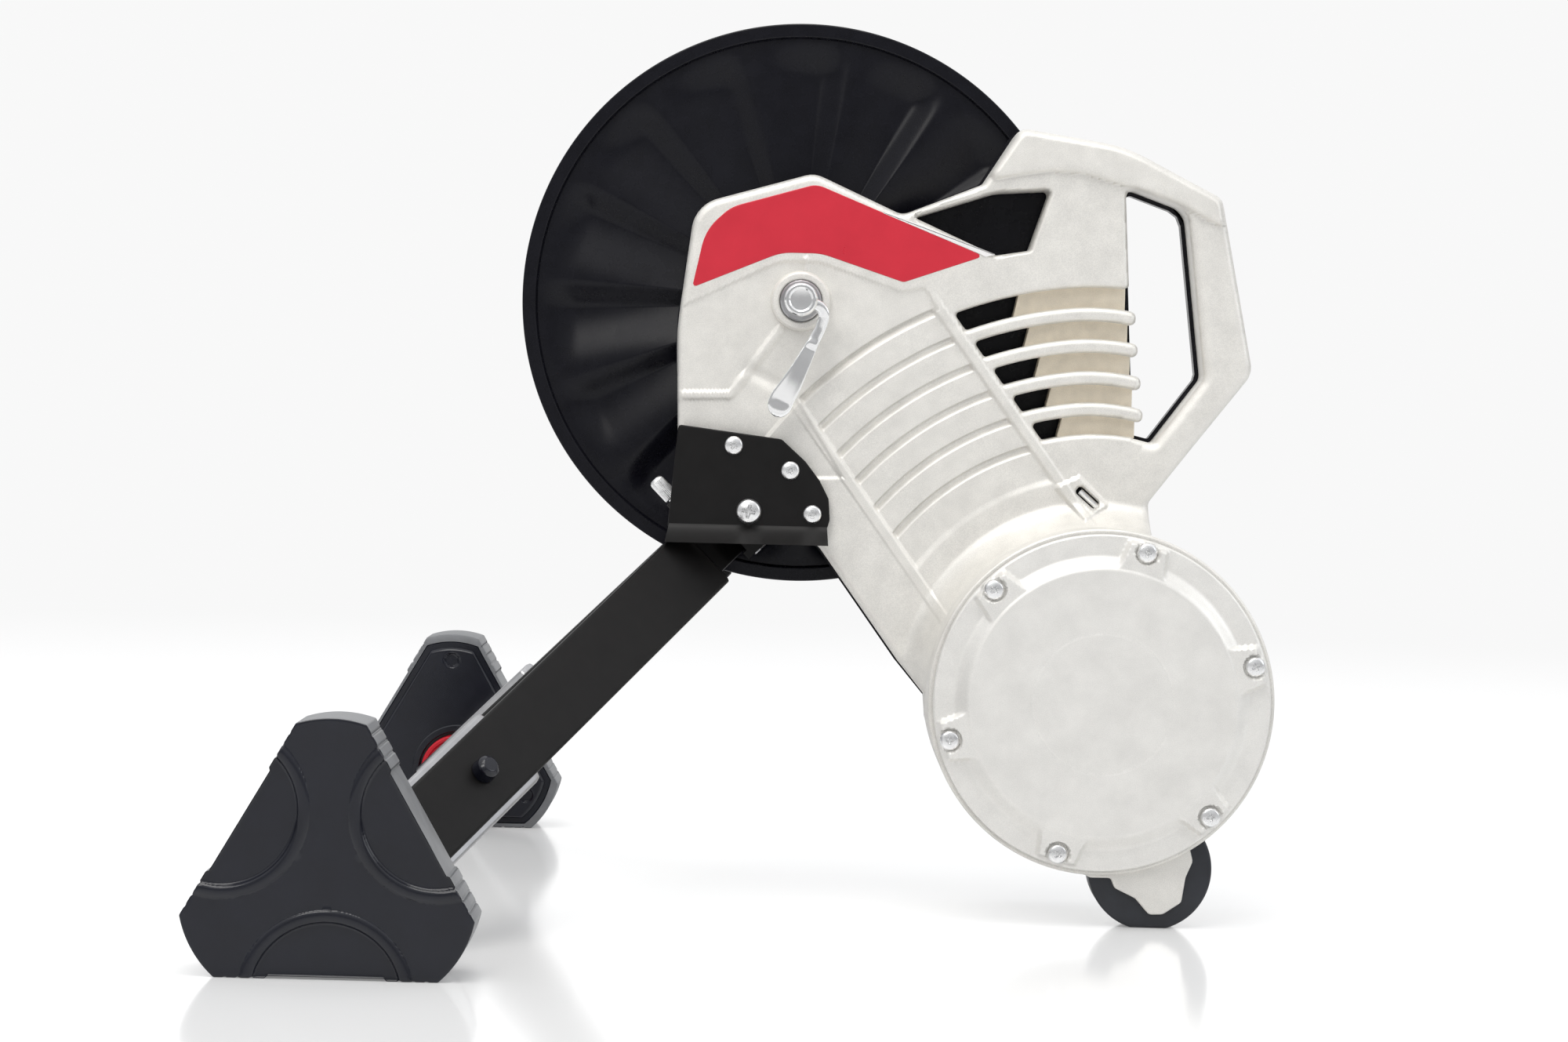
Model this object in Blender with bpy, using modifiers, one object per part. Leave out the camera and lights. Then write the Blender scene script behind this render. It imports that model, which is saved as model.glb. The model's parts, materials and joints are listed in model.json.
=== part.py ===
"""Direct drive bike trainer: a folding floor stand that takes the place of the rear wheel.

Sizes are in millimetres and are turned into metres where a shape is made. X runs from the feet (front)
to the resistance unit (rear), Y runs away from the viewer with the bike's mid-plane at 0, Z is up, and
the floor is at 0. Shapes are laid out from the axle: plan(x, z) gives a place in the stand's side view,
measured from the hub axle.
"""
import math

import bmesh
import bpy
from mathutils import Matrix, Vector

# Driving dimensions, in millimetres
MM = 0.001
GAP = 0.3                       # air between pieces that touch on the real trainer

AXLE_HEIGHT = 380.0             # hub axle above the floor
HUB_WIDTH = 130.0               # over the two faces that clamp in the bike's dropouts
RESIST_X, RESIST_Z = 189.5, -241.6   # resistance shaft, seen from the axle

FACE_Y = -58.5                  # outer face of the casting
RECESS = 3.5                    # deepest relief cut into the outer face
NECK_FIELD_DEPTH = 1.0          # the neck's field lies this far below its two rails
WALL = 4.0                      # casting wall
BACK_Y = -25.0                  # rear edge of the casting
COVER_BACK_Y = -13.0            # rear face of the plastic rear cover
COVER_WALL = 3.0
BELT_CAVITY_FRONT = -50.4

AXLE_R = 8.5
AXLE_BORE_R = 3.0
AXLE_END_R = 13.0
AXLE_SEAT_R = 8.6               # the skewer's spring sits inside this, below the clamping face
AXLE_SHOULDER_Y = -59.3
SKEWER_R = 2.5
HUB_R = 22.0
HUB_NEAR_Y, HUB_FAR_Y = -45.0, 20.0
HUB_FLANGE_R = 32.0
HUB_FLANGE_Y = -36.7
HUB_FLANGE_THICK = 4.0
BEARING_R = 17.5
BEARING_WIDTH = 9.0

BELT_Y = -39.5                  # middle plane of the belt
BELT_WIDTH = 15.0
BELT_THICK = 2.2
DRIVE_R = 62.0                  # belt seat on the large pulley
DRIVEN_R = 12.4                 # belt seat on the small pulley
PULLEY_FLANGE = 1.6

HOUSING_R = 106.0
HOUSING_FRONT_Y = -119.0
CHAMBER_R = HOUSING_R - 8.5
CHAMBER_BACK_Y = -66.0
COVER_R = HOUSING_R - 3.0
COVER_FRONT_Y = -132.0
COVER_SCREW_R = HOUSING_R - 10.4
COVER_SCREWS = 6
COVER_SCREW_START = 15.0
LUG_R = 7.5                     # round posts in the chamber that take the cover's screws
SPIGOT_R = COVER_SCREW_R - LUG_R - 2 * GAP

SHAFT_R = 6.0
SHAFT_BEARING_R = 16.0
SHAFT_BEARING_WIDTH = 10.0
IMPELLER_R = CHAMBER_R - 9.5
FLYWHEEL_R = HOUSING_R - 11.0
FLYWHEEL_Y = (-9.5, 13.5)

GUARD_RIM_R = 168.0
GUARD_R = GUARD_RIM_R + 9.0
GUARD_BORE_R = 26.0
GUARD_NEAR_Y, GUARD_FAR_Y = -11.0, 10.5
GUARD_WALL = 2.4
FLUTES = 15
FLUTE_DEPTH = 5.0
CREASE = 0.3                    # where the sharp crease lies across a flute
FLUTE_START = 7.4
GUARD_POST_R = 45.0

REAR_FOOT_X, REAR_FOOT_Z = 222.7, -343.6
REAR_FOOT_R = 38.0
REAR_FOOT_Y = (-112.0, -84.0)

LEG_HINGE_X, LEG_HINGE_Z = -37.0, -141.0
LEG_HINGE_Y = 20.5              # each hinge pin's distance from the mid-plane
LEG_END_X, LEG_END_Z = -247.0, 29.0 - AXLE_HEIGHT
LEG_END_Y = 353.0
LEG_WIDTH = 45.0
LEG_THICK = 15.0
LEG_WALL = 2.0
KNUCKLE_WIDTH = 30.0
KNUCKLE_LENGTH = 47.0
PIN_R = 5.0

FOOT_INRADIUS = 57.0            # centre of a foot to each of its three flats
FOOT_CORNER_R = 84.0            # centre of a foot to the crown of each corner
FOOT_CORNER_ARC = 60.0
FOOT_CENTRE_X = -247.0
FOOT_PIVOT = (6.0, -15.0)       # the pivot is off centre, so each flat gives another height
FOOT_Y = (364.5, 420.0)
FOOT_CAP_THICK = 5.5
FOOT_FLANK = 29.0
FOOT_TEETH = 4
TOOTH_DEPTH = 1.3
FOOT_HUB_R = 26.0
BAND_THIN = 3.2                 # foot rubber at the middle of a flat

BRACKET_Y = -66.0
SHEET = 3.0
CHANNEL_Y = (-54.0, 50.0)
CHANNEL_FLANGE = 5.0


def arc(cx, cz, radius, start, end, steps):
    """Points on a round stretch, with its angles in degrees."""
    span = end - start
    return [(cx + radius * math.cos(math.radians(start + span * i / steps)),
             cz + radius * math.sin(math.radians(start + span * i / steps))) for i in range(steps + 1)]


def circle(cx, cz, radius, steps=32):
    return arc(cx, cz, radius, 0.0, 360.0 * (steps - 1) / steps, steps - 1)


def rounded(corners, step_degrees=30.0):
    """Outline through (x, z, radius) corners, each turned with an arc tangent to both its sides."""
    outline = []
    count = len(corners)
    for index, (x, z, radius) in enumerate(corners):
        here = Vector((x, z))
        back = (Vector(corners[index - 1][:2]) - here)
        ahead = (Vector(corners[(index + 1) % count][:2]) - here)
        half = back.angle(ahead) / 2.0
        if radius <= 0.0 or half > math.radians(89.0):
            outline.append((x, z))
            continue
        reach = min(radius / math.tan(half), back.length * 0.49, ahead.length * 0.49)
        turn = reach * math.tan(half)
        middle = here + (back.normalized() + ahead.normalized()).normalized() * (turn / math.sin(half))
        first = here + back.normalized() * reach - middle
        sweep = first.angle_signed(here + ahead.normalized() * reach - middle)
        steps = max(1, round(abs(math.degrees(sweep)) / step_degrees))
        for step in range(steps + 1):
            spoke = Matrix.Rotation(-sweep * step / steps, 2) @ first
            outline.append(tuple(middle + spoke))
    return outline


def inset(outline, distance):
    """The same outline moved inwards, or outwards with a negative distance."""
    area = sum(a[0] * b[1] - b[0] * a[1] for a, b in zip(outline, outline[1:] + outline[:1]))
    side = 1.0 if area > 0 else -1.0
    moved = []
    for index, point in enumerate(outline):
        before, after = outline[index - 1], outline[(index + 1) % len(outline)]
        one = (Vector(point) - Vector(before)).normalized()
        two = (Vector(after) - Vector(point)).normalized()
        normal_one = Vector((-one.y, one.x)) * side
        normal_two = Vector((-two.y, two.x)) * side
        bisector = normal_one + normal_two
        scale = distance * 2.0 / max(bisector.length_squared, 0.5)
        moved.append((point[0] + bisector.x * scale, point[1] + bisector.y * scale))
    return moved


def moved(corners, distance):
    """Rounded corners moved inwards (or outwards), with each radius changed to keep the arcs parallel."""
    inner = inset([corner[:2] for corner in corners], distance)
    count = len(corners)
    area = sum(a[0] * b[1] - b[0] * a[1] for a, b in zip(corners, corners[1:] + corners[:1]))
    result = []
    for index, (x, z) in enumerate(inner):
        before, here, after = corners[index - 1], corners[index], corners[(index + 1) % count]
        turn = (here[0] - before[0]) * (after[1] - here[1]) - (here[1] - before[1]) * (after[0] - here[0])
        convex = (turn > 0) == (area > 0)
        radius = here[2] - distance if convex else here[2] + distance
        result.append((x, z, max(radius, 1.0)))
    return result


def shifted(outline, dx, dz):
    return [(x + dx, z + dz) for x, z in outline]


def polar(radius, degrees, cx=0.0, cz=0.0):
    return (cx + radius * math.cos(math.radians(degrees)), cz + radius * math.sin(math.radians(degrees)))


def foot_outline(flat, crown, crown_arc, steps=6):
    """Three flats round the centre, one of them down, joined by wide convex corners."""
    centre = crown - crown_arc
    offset = 2.0 * flat - centre
    root = math.sqrt(3.0)
    v = (root * offset - math.sqrt(max(0.0, 3.0 * offset ** 2 - 4.0 * (offset ** 2 - crown_arc ** 2)))) / 4.0
    half = math.degrees(math.asin(v / crown_arc))
    points = []
    for corner in range(3):
        angle = 90.0 + 120.0 * corner
        cx, cz = polar(centre, angle)
        points += arc(cx, cz, crown_arc, angle - half, angle + half, steps)
    return points


FOOT_SHAPE = foot_outline(FOOT_INRADIUS, FOOT_CORNER_R, FOOT_CORNER_ARC)
FOOT_CENTRE_Z = FOOT_INRADIUS - AXLE_HEIGHT
# The trainer's width in X is centred on the origin: front foot to the housing's rear
AXLE_X = -0.5 * (FOOT_CENTRE_X + min(x for x, z in FOOT_SHAPE) + RESIST_X + HOUSING_R)


def place(x, y, z):
    """World position, in metres, of a point laid out from the axle in millimetres."""
    return Vector((AXLE_X + x, y, AXLE_HEIGHT + z)) * MM


def clear_scene():
    for item in list(bpy.data.objects):
        bpy.data.objects.remove(item)


def new_collection(name):
    collection = bpy.data.collections.new(name)
    bpy.context.scene.collection.children.link(collection)
    return collection


clear_scene()
PARTS = new_collection("direct_drive_trainer")
CUTTERS = new_collection("cutters")
CUTTERS.hide_render = True


def finish_material(name, colour, roughness, metallic=0.0):
    existing = bpy.data.materials.get(name)
    if existing:
        return existing
    made = bpy.data.materials.new(name)
    made.use_nodes = True
    shader = made.node_tree.nodes["Principled BSDF"]
    shader.inputs["Base Color"].default_value = (*colour, 1.0)
    shader.inputs["Roughness"].default_value = roughness
    shader.inputs["Metallic"].default_value = metallic
    made.diffuse_color = (*colour, 1.0)
    return made


FINISH = {
    "cast": ((0.56, 0.54, 0.50), 0.45, 0.9),
    "black": ((0.015, 0.015, 0.02), 0.35, 0.0),
    "gloss": ((0.012, 0.014, 0.025), 0.15, 0.0),
    "rubber": ((0.02, 0.02, 0.024), 0.7, 0.0),
    "red": ((0.60, 0.02, 0.035), 0.4, 0.0),
    "chrome": ((0.75, 0.75, 0.76), 0.12, 1.0),
    "zinc": ((0.62, 0.63, 0.65), 0.28, 1.0),
    "steel": ((0.45, 0.45, 0.46), 0.35, 1.0),
    "paint": ((0.014, 0.014, 0.018), 0.4, 0.2),
    "alloy": ((0.60, 0.60, 0.61), 0.3, 1.0),
}


def adopt(obj, finish, collection=None):
    """Link an object, give it its own material and shade its round faces smooth."""
    target = collection or PARTS
    if obj.name not in target.objects:
        target.objects.link(obj)
    if collection is CUTTERS:
        obj.hide_render = True
        obj.display_type = 'WIRE'
        return obj
    colour, roughness, metallic = FINISH[finish]
    obj.data.materials.clear()
    obj.data.materials.append(finish_material(obj.name + "_finish", colour, roughness, metallic))
    obj.data.shade_smooth()
    obj.data.set_sharp_from_angle(angle=math.radians(35.0))
    return obj


def mesh_object(name, mesh, matrix=None):
    obj = bpy.data.objects.new(name, mesh)
    if matrix is not None:
        obj.matrix_world = matrix
    return obj


def side_view(y):
    """Frame whose X is the world's, whose Y is up and whose Z comes out towards the viewer."""
    return Matrix.Translation(place(0.0, y, 0.0)) @ Matrix.Rotation(math.radians(90.0), 4, 'X')


def prism(name, loops, near_y, far_y, finish="cast", collection=None):
    """Flat outline, with any holes, as thick as the distance from near_y to far_y."""
    curve = bpy.data.curves.new(name, 'CURVE')
    curve.dimensions = '2D'
    curve.fill_mode = 'BOTH'
    curve.extrude = 0.5 * abs(far_y - near_y) * MM
    for loop in loops:
        spline = curve.splines.new('POLY')
        spline.points.add(len(loop) - 1)
        for point, (x, z) in zip(spline.points, loop):
            point.co = (x * MM, z * MM, 0.0, 1.0)
        spline.use_cyclic_u = True
    guide = bpy.data.objects.new(name + "_outline", curve)
    bpy.context.scene.collection.objects.link(guide)
    guide.matrix_world = side_view(0.5 * (near_y + far_y))
    bpy.context.view_layer.update()
    graph = bpy.context.evaluated_depsgraph_get()
    mesh = bpy.data.meshes.new_from_object(guide.evaluated_get(graph))
    matrix = guide.matrix_world.copy()
    bpy.data.objects.remove(guide)
    weld(mesh)
    mesh.name = name
    return adopt(mesh_object(name, mesh, matrix), finish, collection)


def weld(mesh):
    work = bmesh.new()
    work.from_mesh(mesh)
    bmesh.ops.remove_doubles(work, verts=work.verts, dist=1e-6)
    bmesh.ops.recalc_face_normals(work, faces=work.faces)
    work.to_mesh(mesh)
    work.free()


def turned(name, profile, cx=0.0, cz=0.0, steps=32, finish="steel", collection=None, closed=False):
    """Profile of (radius, y) points, nearest the viewer first, turned about a line along Y."""
    edges = [(i, i + 1) for i in range(len(profile) - 1)]
    if closed:
        edges.append((len(profile) - 1, 0))
    mesh = bpy.data.meshes.new(name)
    mesh.from_pydata([(r * MM, 0.0, -y * MM) for r, y in profile], edges, [])
    obj = mesh_object(name, mesh, side_view(0.0))
    obj.matrix_world = Matrix.Translation(place(cx, 0.0, cz)) @ Matrix.Rotation(math.radians(90.0), 4, 'X')
    screw = obj.modifiers.new("Turn", 'SCREW')
    screw.axis = 'Z'
    screw.steps = screw.render_steps = steps
    screw.use_merge_vertices = True
    screw.merge_threshold = 0.00001
    screw.use_smooth_shade = True
    return adopt(obj, finish, collection)


def ring_profile(inner, outer, near_y, far_y):
    return [(inner, near_y), (outer, near_y), (outer, far_y), (inner, far_y)]


def solid_profile(radius, near_y, far_y):
    return [(0.0, near_y), (radius, near_y), (radius, far_y), (0.0, far_y)]


def rod(name, start, end, radius, sides=16, finish="zinc", collection=None, tip=None):
    """Cylinder, or cone with a tip radius, between two places given in metres."""
    mesh = bpy.data.meshes.new(name)
    work = bmesh.new()
    length = (end - start).length
    bmesh.ops.create_cone(work, cap_ends=True, segments=sides, radius1=radius * MM,
                          radius2=(radius if tip is None else tip) * MM, depth=length)
    work.to_mesh(mesh)
    work.free()
    turn = (end - start).to_track_quat('Z', 'Y').to_matrix().to_4x4()
    matrix = Matrix.Translation((start + end) / 2.0) @ turn
    return adopt(mesh_object(name, mesh, matrix), finish, collection)


def along_y(name, x, z, radius, near_y, far_y, sides=16, finish="zinc", collection=None, tip=None):
    return rod(name, place(x, near_y, z), place(x, far_y, z), radius, sides, finish, collection, tip)


def block(name, low, high, matrix, finish="paint", collection=None):
    """Box from its low to its high corner, in millimetres, in the frame of a matrix."""
    mesh = bpy.data.meshes.new(name)
    work = bmesh.new()
    bmesh.ops.create_cube(work, size=1.0)
    size = [(b - a) * MM for a, b in zip(low, high)]
    middle = [(a + b) * 0.5 * MM for a, b in zip(low, high)]
    bmesh.ops.scale(work, vec=size, verts=work.verts)
    bmesh.ops.translate(work, vec=middle, verts=work.verts)
    work.to_mesh(mesh)
    work.free()
    return adopt(mesh_object(name, mesh, matrix), finish, collection)


# The exact solver leaves small gaps in these two, whose many forms meet in shared planes
MANIFOLD_PIECES = ("main_casting", "resistance_cover")


def boolean(target, tool, operation):
    modifier = target.modifiers.new(operation.title() + " " + tool.name, 'BOOLEAN')
    modifier.operation = operation
    modifier.object = tool
    modifier.solver = 'MANIFOLD' if target.name in MANIFOLD_PIECES else 'EXACT'


def even_faces(obj):
    """Split the flat faces into well-shaped triangles."""
    split = obj.modifiers.new("Even faces", 'TRIANGULATE')
    split.quad_method = 'BEAUTY'
    split.ngon_method = 'BEAUTY'


def cut(target, *tools):
    for tool in tools:
        boolean(target, tool, 'DIFFERENCE')


def fuse(target, *tools):
    for tool in tools:
        boolean(target, tool, 'UNION')


def screw(name, x, z, head_r, head_y, seat_y, shank_r, end_y, sides=10):
    """Machine screw along Y: a low head from head_y to seat_y and a shank on to end_y."""
    sign = 1.0 if end_y > seat_y else -1.0
    profile = [(0.0, head_y), (head_r * 0.7, head_y), (head_r, head_y + sign * abs(seat_y - head_y) * 0.5),
               (head_r, seat_y), (shank_r, seat_y), (shank_r, end_y), (0.0, end_y)]
    if sign < 0.0:
        profile.reverse()
    return turned(name, profile, x, z, sides, "zinc")


# Casting: outline, openings and relief of the die-cast frame
BODY_CORNERS = [
    (-74.4, -76.5, 3), (-77.0, -20.0, 120), (-67.5, 58.5, 22), (6.5, 80.0, 16), (62.0, 55.3, 10),
    (111.5, 75.5, 6), (134.0, 111.5, 9), (200.0, 101.5, 90), (261.5, 70.5, 8), (283.5, -38.0, 14),
    (246.5, -86.0, 4), (220.4, -120.5, 4), (222.0, -150.0, 1), (200.0, -241.0, 1), (120.0, -262.0, 1),
    (88.9, -250.0, 4), (66.0, -223.0, 6), (15.0, -153.0, 4), (9.0, -150.5, 2), (-55.5, -86.0, 3)]
OPENING_CORNERS = [
    (200.5, 77.0, 5), (240.0, 63.0, 14), (253.0, -42.0, 8), (222.5, -83.5, 4), (209.5, -80.5, 4)]
WINDOW_CORNERS = [(71.6, 53.5, 3), (120.2, 32.0, 4), (141.5, 35.4, 5), (153.5, 72.5, 4), (120.0, 70.0, 20)]
PANEL_CORNERS = [
    (-68.1, 6.6, 1.5), (-60.5, 43.0, 12), (-45.0, 57.5, 6), (8.0, 73.0, 6), (113.6, 30.8, 1.5),
    (63.8, 13.2, 6), (12.0, 29.8, 10), (-13.0, 29.8, 10)]

ARC_X, ARC_Z = 194.4, -250.3    # the neck's grooves and the cooling fins are drawn round this point
GROOVE_RADII = (269.4, 248.8, 228.7, 209.1, 189.1, 169.0)
GROOVE_WIDTH = 5.0
NECK_FIELD_END = 149.0
NECK_AXIS = Vector((0.59, -0.807)).normalized()
LEFT_RAIL, RIGHT_RAIL = -39.5, 68.8
FIN_RADII = (247.3, 227.7, 207.7, 188.1)
FIN_THICK = 8.0
FIN_ZONE = (264.0, 172.5)       # radii above the first fin and below the last
FIN_LEFT = RIGHT_RAIL + 5.5
FIN_RIGHT = 212.0
FIN_WALL_X = 203.0
SLOT_END = (134.0, 141.3, 148.6, 156.0, 163.4)
FIN_FLOOR_Y = -38.0


def on_arc(radius, offset):
    """Where an arc of the neck's family crosses a line parallel to the neck, at an offset from its axis."""
    across = Vector((-NECK_AXIS.y, NECK_AXIS.x)) * offset
    start = across - Vector((ARC_X, ARC_Z))
    along = start.dot(NECK_AXIS)
    rest = start.length_squared - radius ** 2
    step = -along - math.sqrt(along ** 2 - rest)
    return across + NECK_AXIS * step


def arc_angle(point):
    return math.degrees(math.atan2(point[1] - ARC_Z, point[0] - ARC_X))


def neck_cell(outer, inner, left, right, steps=4):
    """Area between two arcs and two lines parallel to the neck."""
    top = arc(ARC_X, ARC_Z, outer, arc_angle(on_arc(outer, left)), arc_angle(on_arc(outer, right)), steps)
    low = arc(ARC_X, ARC_Z, inner, arc_angle(on_arc(inner, right)), arc_angle(on_arc(inner, left)), steps)
    return top + low


def fin_cell(outer, inner, right_x, left, steps=4):
    """Area between two arcs, from the rail at the neck to a plane at right_x."""
    def end(radius):
        return math.degrees(math.acos((right_x - ARC_X) / radius))
    top = arc(ARC_X, ARC_Z, outer, arc_angle(on_arc(outer, left)), end(outer), steps)
    low = arc(ARC_X, ARC_Z, inner, end(inner), arc_angle(on_arc(inner, left)), steps)
    return top + low


def fin_gaps():
    edges = [FIN_ZONE[0]]
    for radius in FIN_RADII:
        edges += [radius + FIN_THICK / 2.0, radius - FIN_THICK / 2.0]
    edges.append(FIN_ZONE[1])
    return list(zip(edges[0::2], edges[1::2]))


def belt_loop(offset, steps_large=24, steps_small=10):
    """Outline round both pulleys, a given distance outside the belt seats."""
    large, small = DRIVE_R + offset, DRIVEN_R + offset
    line = Vector((RESIST_X, RESIST_Z))
    heading = math.degrees(math.atan2(line.y, line.x))
    spread = math.degrees(math.acos((large - small) / line.length))
    return (arc(0.0, 0.0, large, heading + spread, heading + 360.0 - spread, steps_large)
            + arc(RESIST_X, RESIST_Z, small, heading - spread, heading + spread, steps_small))


HINGE = Vector((LEG_HINGE_X, LEG_HINGE_Z))
LEG_RUN = Vector((LEG_END_X, LEG_END_Z)) - HINGE
LEG_DOWN = LEG_RUN.normalized()
LEG_ACROSS = Vector((LEG_DOWN.y, -LEG_DOWN.x))
SPLAY = math.atan2(LEG_END_Y - LEG_HINGE_Y, LEG_RUN.length)
LEG_LENGTH = LEG_RUN.length / math.cos(SPLAY)


def hinge_point(across, down):
    """Side-view point measured from the leg hinges, across and down the legs."""
    point = HINGE + LEG_ACROSS * across + LEG_DOWN * down
    return (point.x, point.y)


BRACKET_OUTLINE = rounded([
    (-74.0, -81.0, 2), (-10.5, -87.3, 4), (4.8, -100.7, 3), (14.5, -111.5, 5), (20.5, -123.0, 5),
    (21.5, -136.0, 5), (19.5, -143.5, 1), (-79.5, -143.5, 1)])
BRACKET_SCREWS = ((-39.5, -91.1), (-3.9, -105.8), (10.5, -132.8))
SKIRT_LOW_Z = -151.8
SKIRT_FLARE = 13.0
MAIN_BOLT = hinge_point(0.8, -12.0)
MAIN_BOLT_R = 4.0
WEB_BACK, WEB_FRONT = -22.0, -19.0
UPPER_FLANGE_END = 25.0
LOWER_FLANGE_END = 9.0
CLAMP_DOWN = 17.7
CLAMP_Y = LEG_HINGE_Y + CLAMP_DOWN * math.tan(SPLAY)
CLAMP_BACKED_OFF = 7.0          # the clamp screws stand open by this much, so that the legs can fold


def casting_form(name, outline, near, far):
    return prism(name, [outline], near, far, "cast", CUTTERS)


def casting_round(name, x, z, radius, near, far, sides=32):
    return along_y(name, x, z, radius, near, far, sides, "cast", CUTTERS)


def add_outer_forms(casting):
    """Housing with its shoulder, axle boss, bracket pad, foot prong, handle block and tension boss."""
    housing = casting_round("housing_form", RESIST_X, RESIST_Z, HOUSING_R, HOUSING_FRONT_Y, BACK_Y, 40)
    shoulder = turned("shoulder_form", [
        (0.0, -86.0), (HOUSING_R - 2.0, -86.0), (HOUSING_R + 4.0, -72.0), (HOUSING_R + 16.0, FACE_Y - 0.5),
        (HOUSING_R + 16.0, FACE_Y + 6.0), (0.0, FACE_Y + 6.0)], RESIST_X, RESIST_Z, 40, "cast", CUTTERS)
    boolean(shoulder, casting_form("shoulder_room_form", rounded(moved(BODY_CORNERS, 0.7)), -130.0, -20.0),
            'INTERSECT')
    boss = casting_round("axle_boss_form", 0, 0, 18.0, -63.0, FACE_Y + 2.0, 24)
    pad = casting_form("bracket_pad_form", rounded([
        (-60.0, -84.0, 3), (-13.0, -91.0, 4), (9.0, -112.0, 6), (16.0, -126.0, 4), (14.0, -139.0, 3),
        hinge_point(-30.0, 4.0) + (3,), hinge_point(21.0, 4.0) + (3,)]), BRACKET_Y + SHEET + GAP,
        CHANNEL_Y[0] - GAP)
    prong = casting_form("rear_foot_prong_form", rounded([(150.0, -330.0, 0)] + PRONG_CORNERS + [
        (240.0, -300.0, 0), (170.0, -300.0, 0)]), HOUSING_FRONT_Y + 3.0, REAR_FOOT_Y[0] + 3.0)
    grip = casting_form("handle_block_form", rounded([
        (113.5, 78.5, 3), (135.0, 110.5, 8), (200.0, 100.7, 90), (260.7, 69.9, 7), (263.3, 57.0, 2),
        (240.0, 64.6, 8), (200.6, 76.6, 4), (173.4, 84.0, 10), (153.8, 84.9, 6)]), FACE_Y - 3.0, FACE_Y + 6.0)
    tension_boss = casting_form("tension_boss_form", rounded([
        (160.0, -112.0, 2), (177.0, -104.0, 2), (194.0, -121.0, 2), (180.0, -132.0, 2)]),
        FACE_Y - 4.0, FACE_Y + 4.0)
    fuse(casting, housing, shoulder, boss, pad, prong, grip, tension_boss)


def hollow_casting(casting):
    """Open back of the casting, the resistance chamber, the seats and the through openings."""
    core = casting_form("frame_core_form", rounded(moved(BODY_CORNERS, WALL), 45.0), FACE_Y + RECESS + WALL,
                        BACK_Y + 5.0)
    cut(core, casting_form("opening_wall_form", rounded(moved(OPENING_CORNERS, -WALL), 45.0), -80.0, -10.0),
        casting_form("window_wall_form", rounded(moved(WINDOW_CORNERS, -WALL), 45.0), -80.0, -10.0),
        casting_form("fin_wall_form", fin_cell(FIN_ZONE[0] + WALL, FIN_ZONE[1] - WALL, FIN_RIGHT + 4.0,
                                               FIN_LEFT - WALL, 3), -80.0, -10.0),
        casting_round("housing_wall_form", RESIST_X, RESIST_Z, HOUSING_R + 1.0, -80.0, -10.0))
    belt_room = casting_form("belt_room_form", belt_loop(6.0, 14, 5), BELT_CAVITY_FRONT, BACK_Y + 5.0)
    rear_room = turned("housing_rear_room_form", ring_profile(40.0, CHAMBER_R + 1.5, -48.0, BACK_Y + 5.0),
                       RESIST_X, RESIST_Z, 24, "cast", CUTTERS, closed=True)
    chamber = casting_round("chamber_form", RESIST_X, RESIST_Z, CHAMBER_R, HOUSING_FRONT_Y - 5.0,
                            CHAMBER_BACK_Y)
    seat_back = CHAMBER_BACK_Y + SHAFT_BEARING_WIDTH + 1.0
    bearing_seat = turned("bearing_seat_form", [
        (0.0, CHAMBER_BACK_Y - 5.0), (SHAFT_BEARING_R + GAP, CHAMBER_BACK_Y - 5.0),
        (SHAFT_BEARING_R + GAP, seat_back), (SHAFT_R + 4.0, seat_back), (SHAFT_R + 4.0, -40.0), (0.0, -40.0)],
        RESIST_X, RESIST_Z, 20, "cast", CUTTERS)
    cut(casting, core, belt_room, rear_room, chamber, bearing_seat)
    fuse(casting, casting_round("axle_boss_inner_form", 0, 0, 16.0, -54.5, HUB_NEAR_Y - 5.0, 16))
    cut(casting, casting_form("handle_opening_form", rounded(OPENING_CORNERS), -80.0, -10.0),
        casting_form("window_form", rounded(WINDOW_CORNERS), -80.0, -10.0),
        casting_form("panel_seat_form", rounded(moved(PANEL_CORNERS, -GAP)), FACE_Y - 2.0, FACE_Y + 1.2),
        casting_round("axle_bore_form", 0, 0, AXLE_R + GAP, -70.0, -40.0, 20),
        casting_round("axle_end_room_form", 0, 0, AXLE_END_R + GAP, -70.0, AXLE_SHOULDER_Y + GAP, 20))


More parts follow.
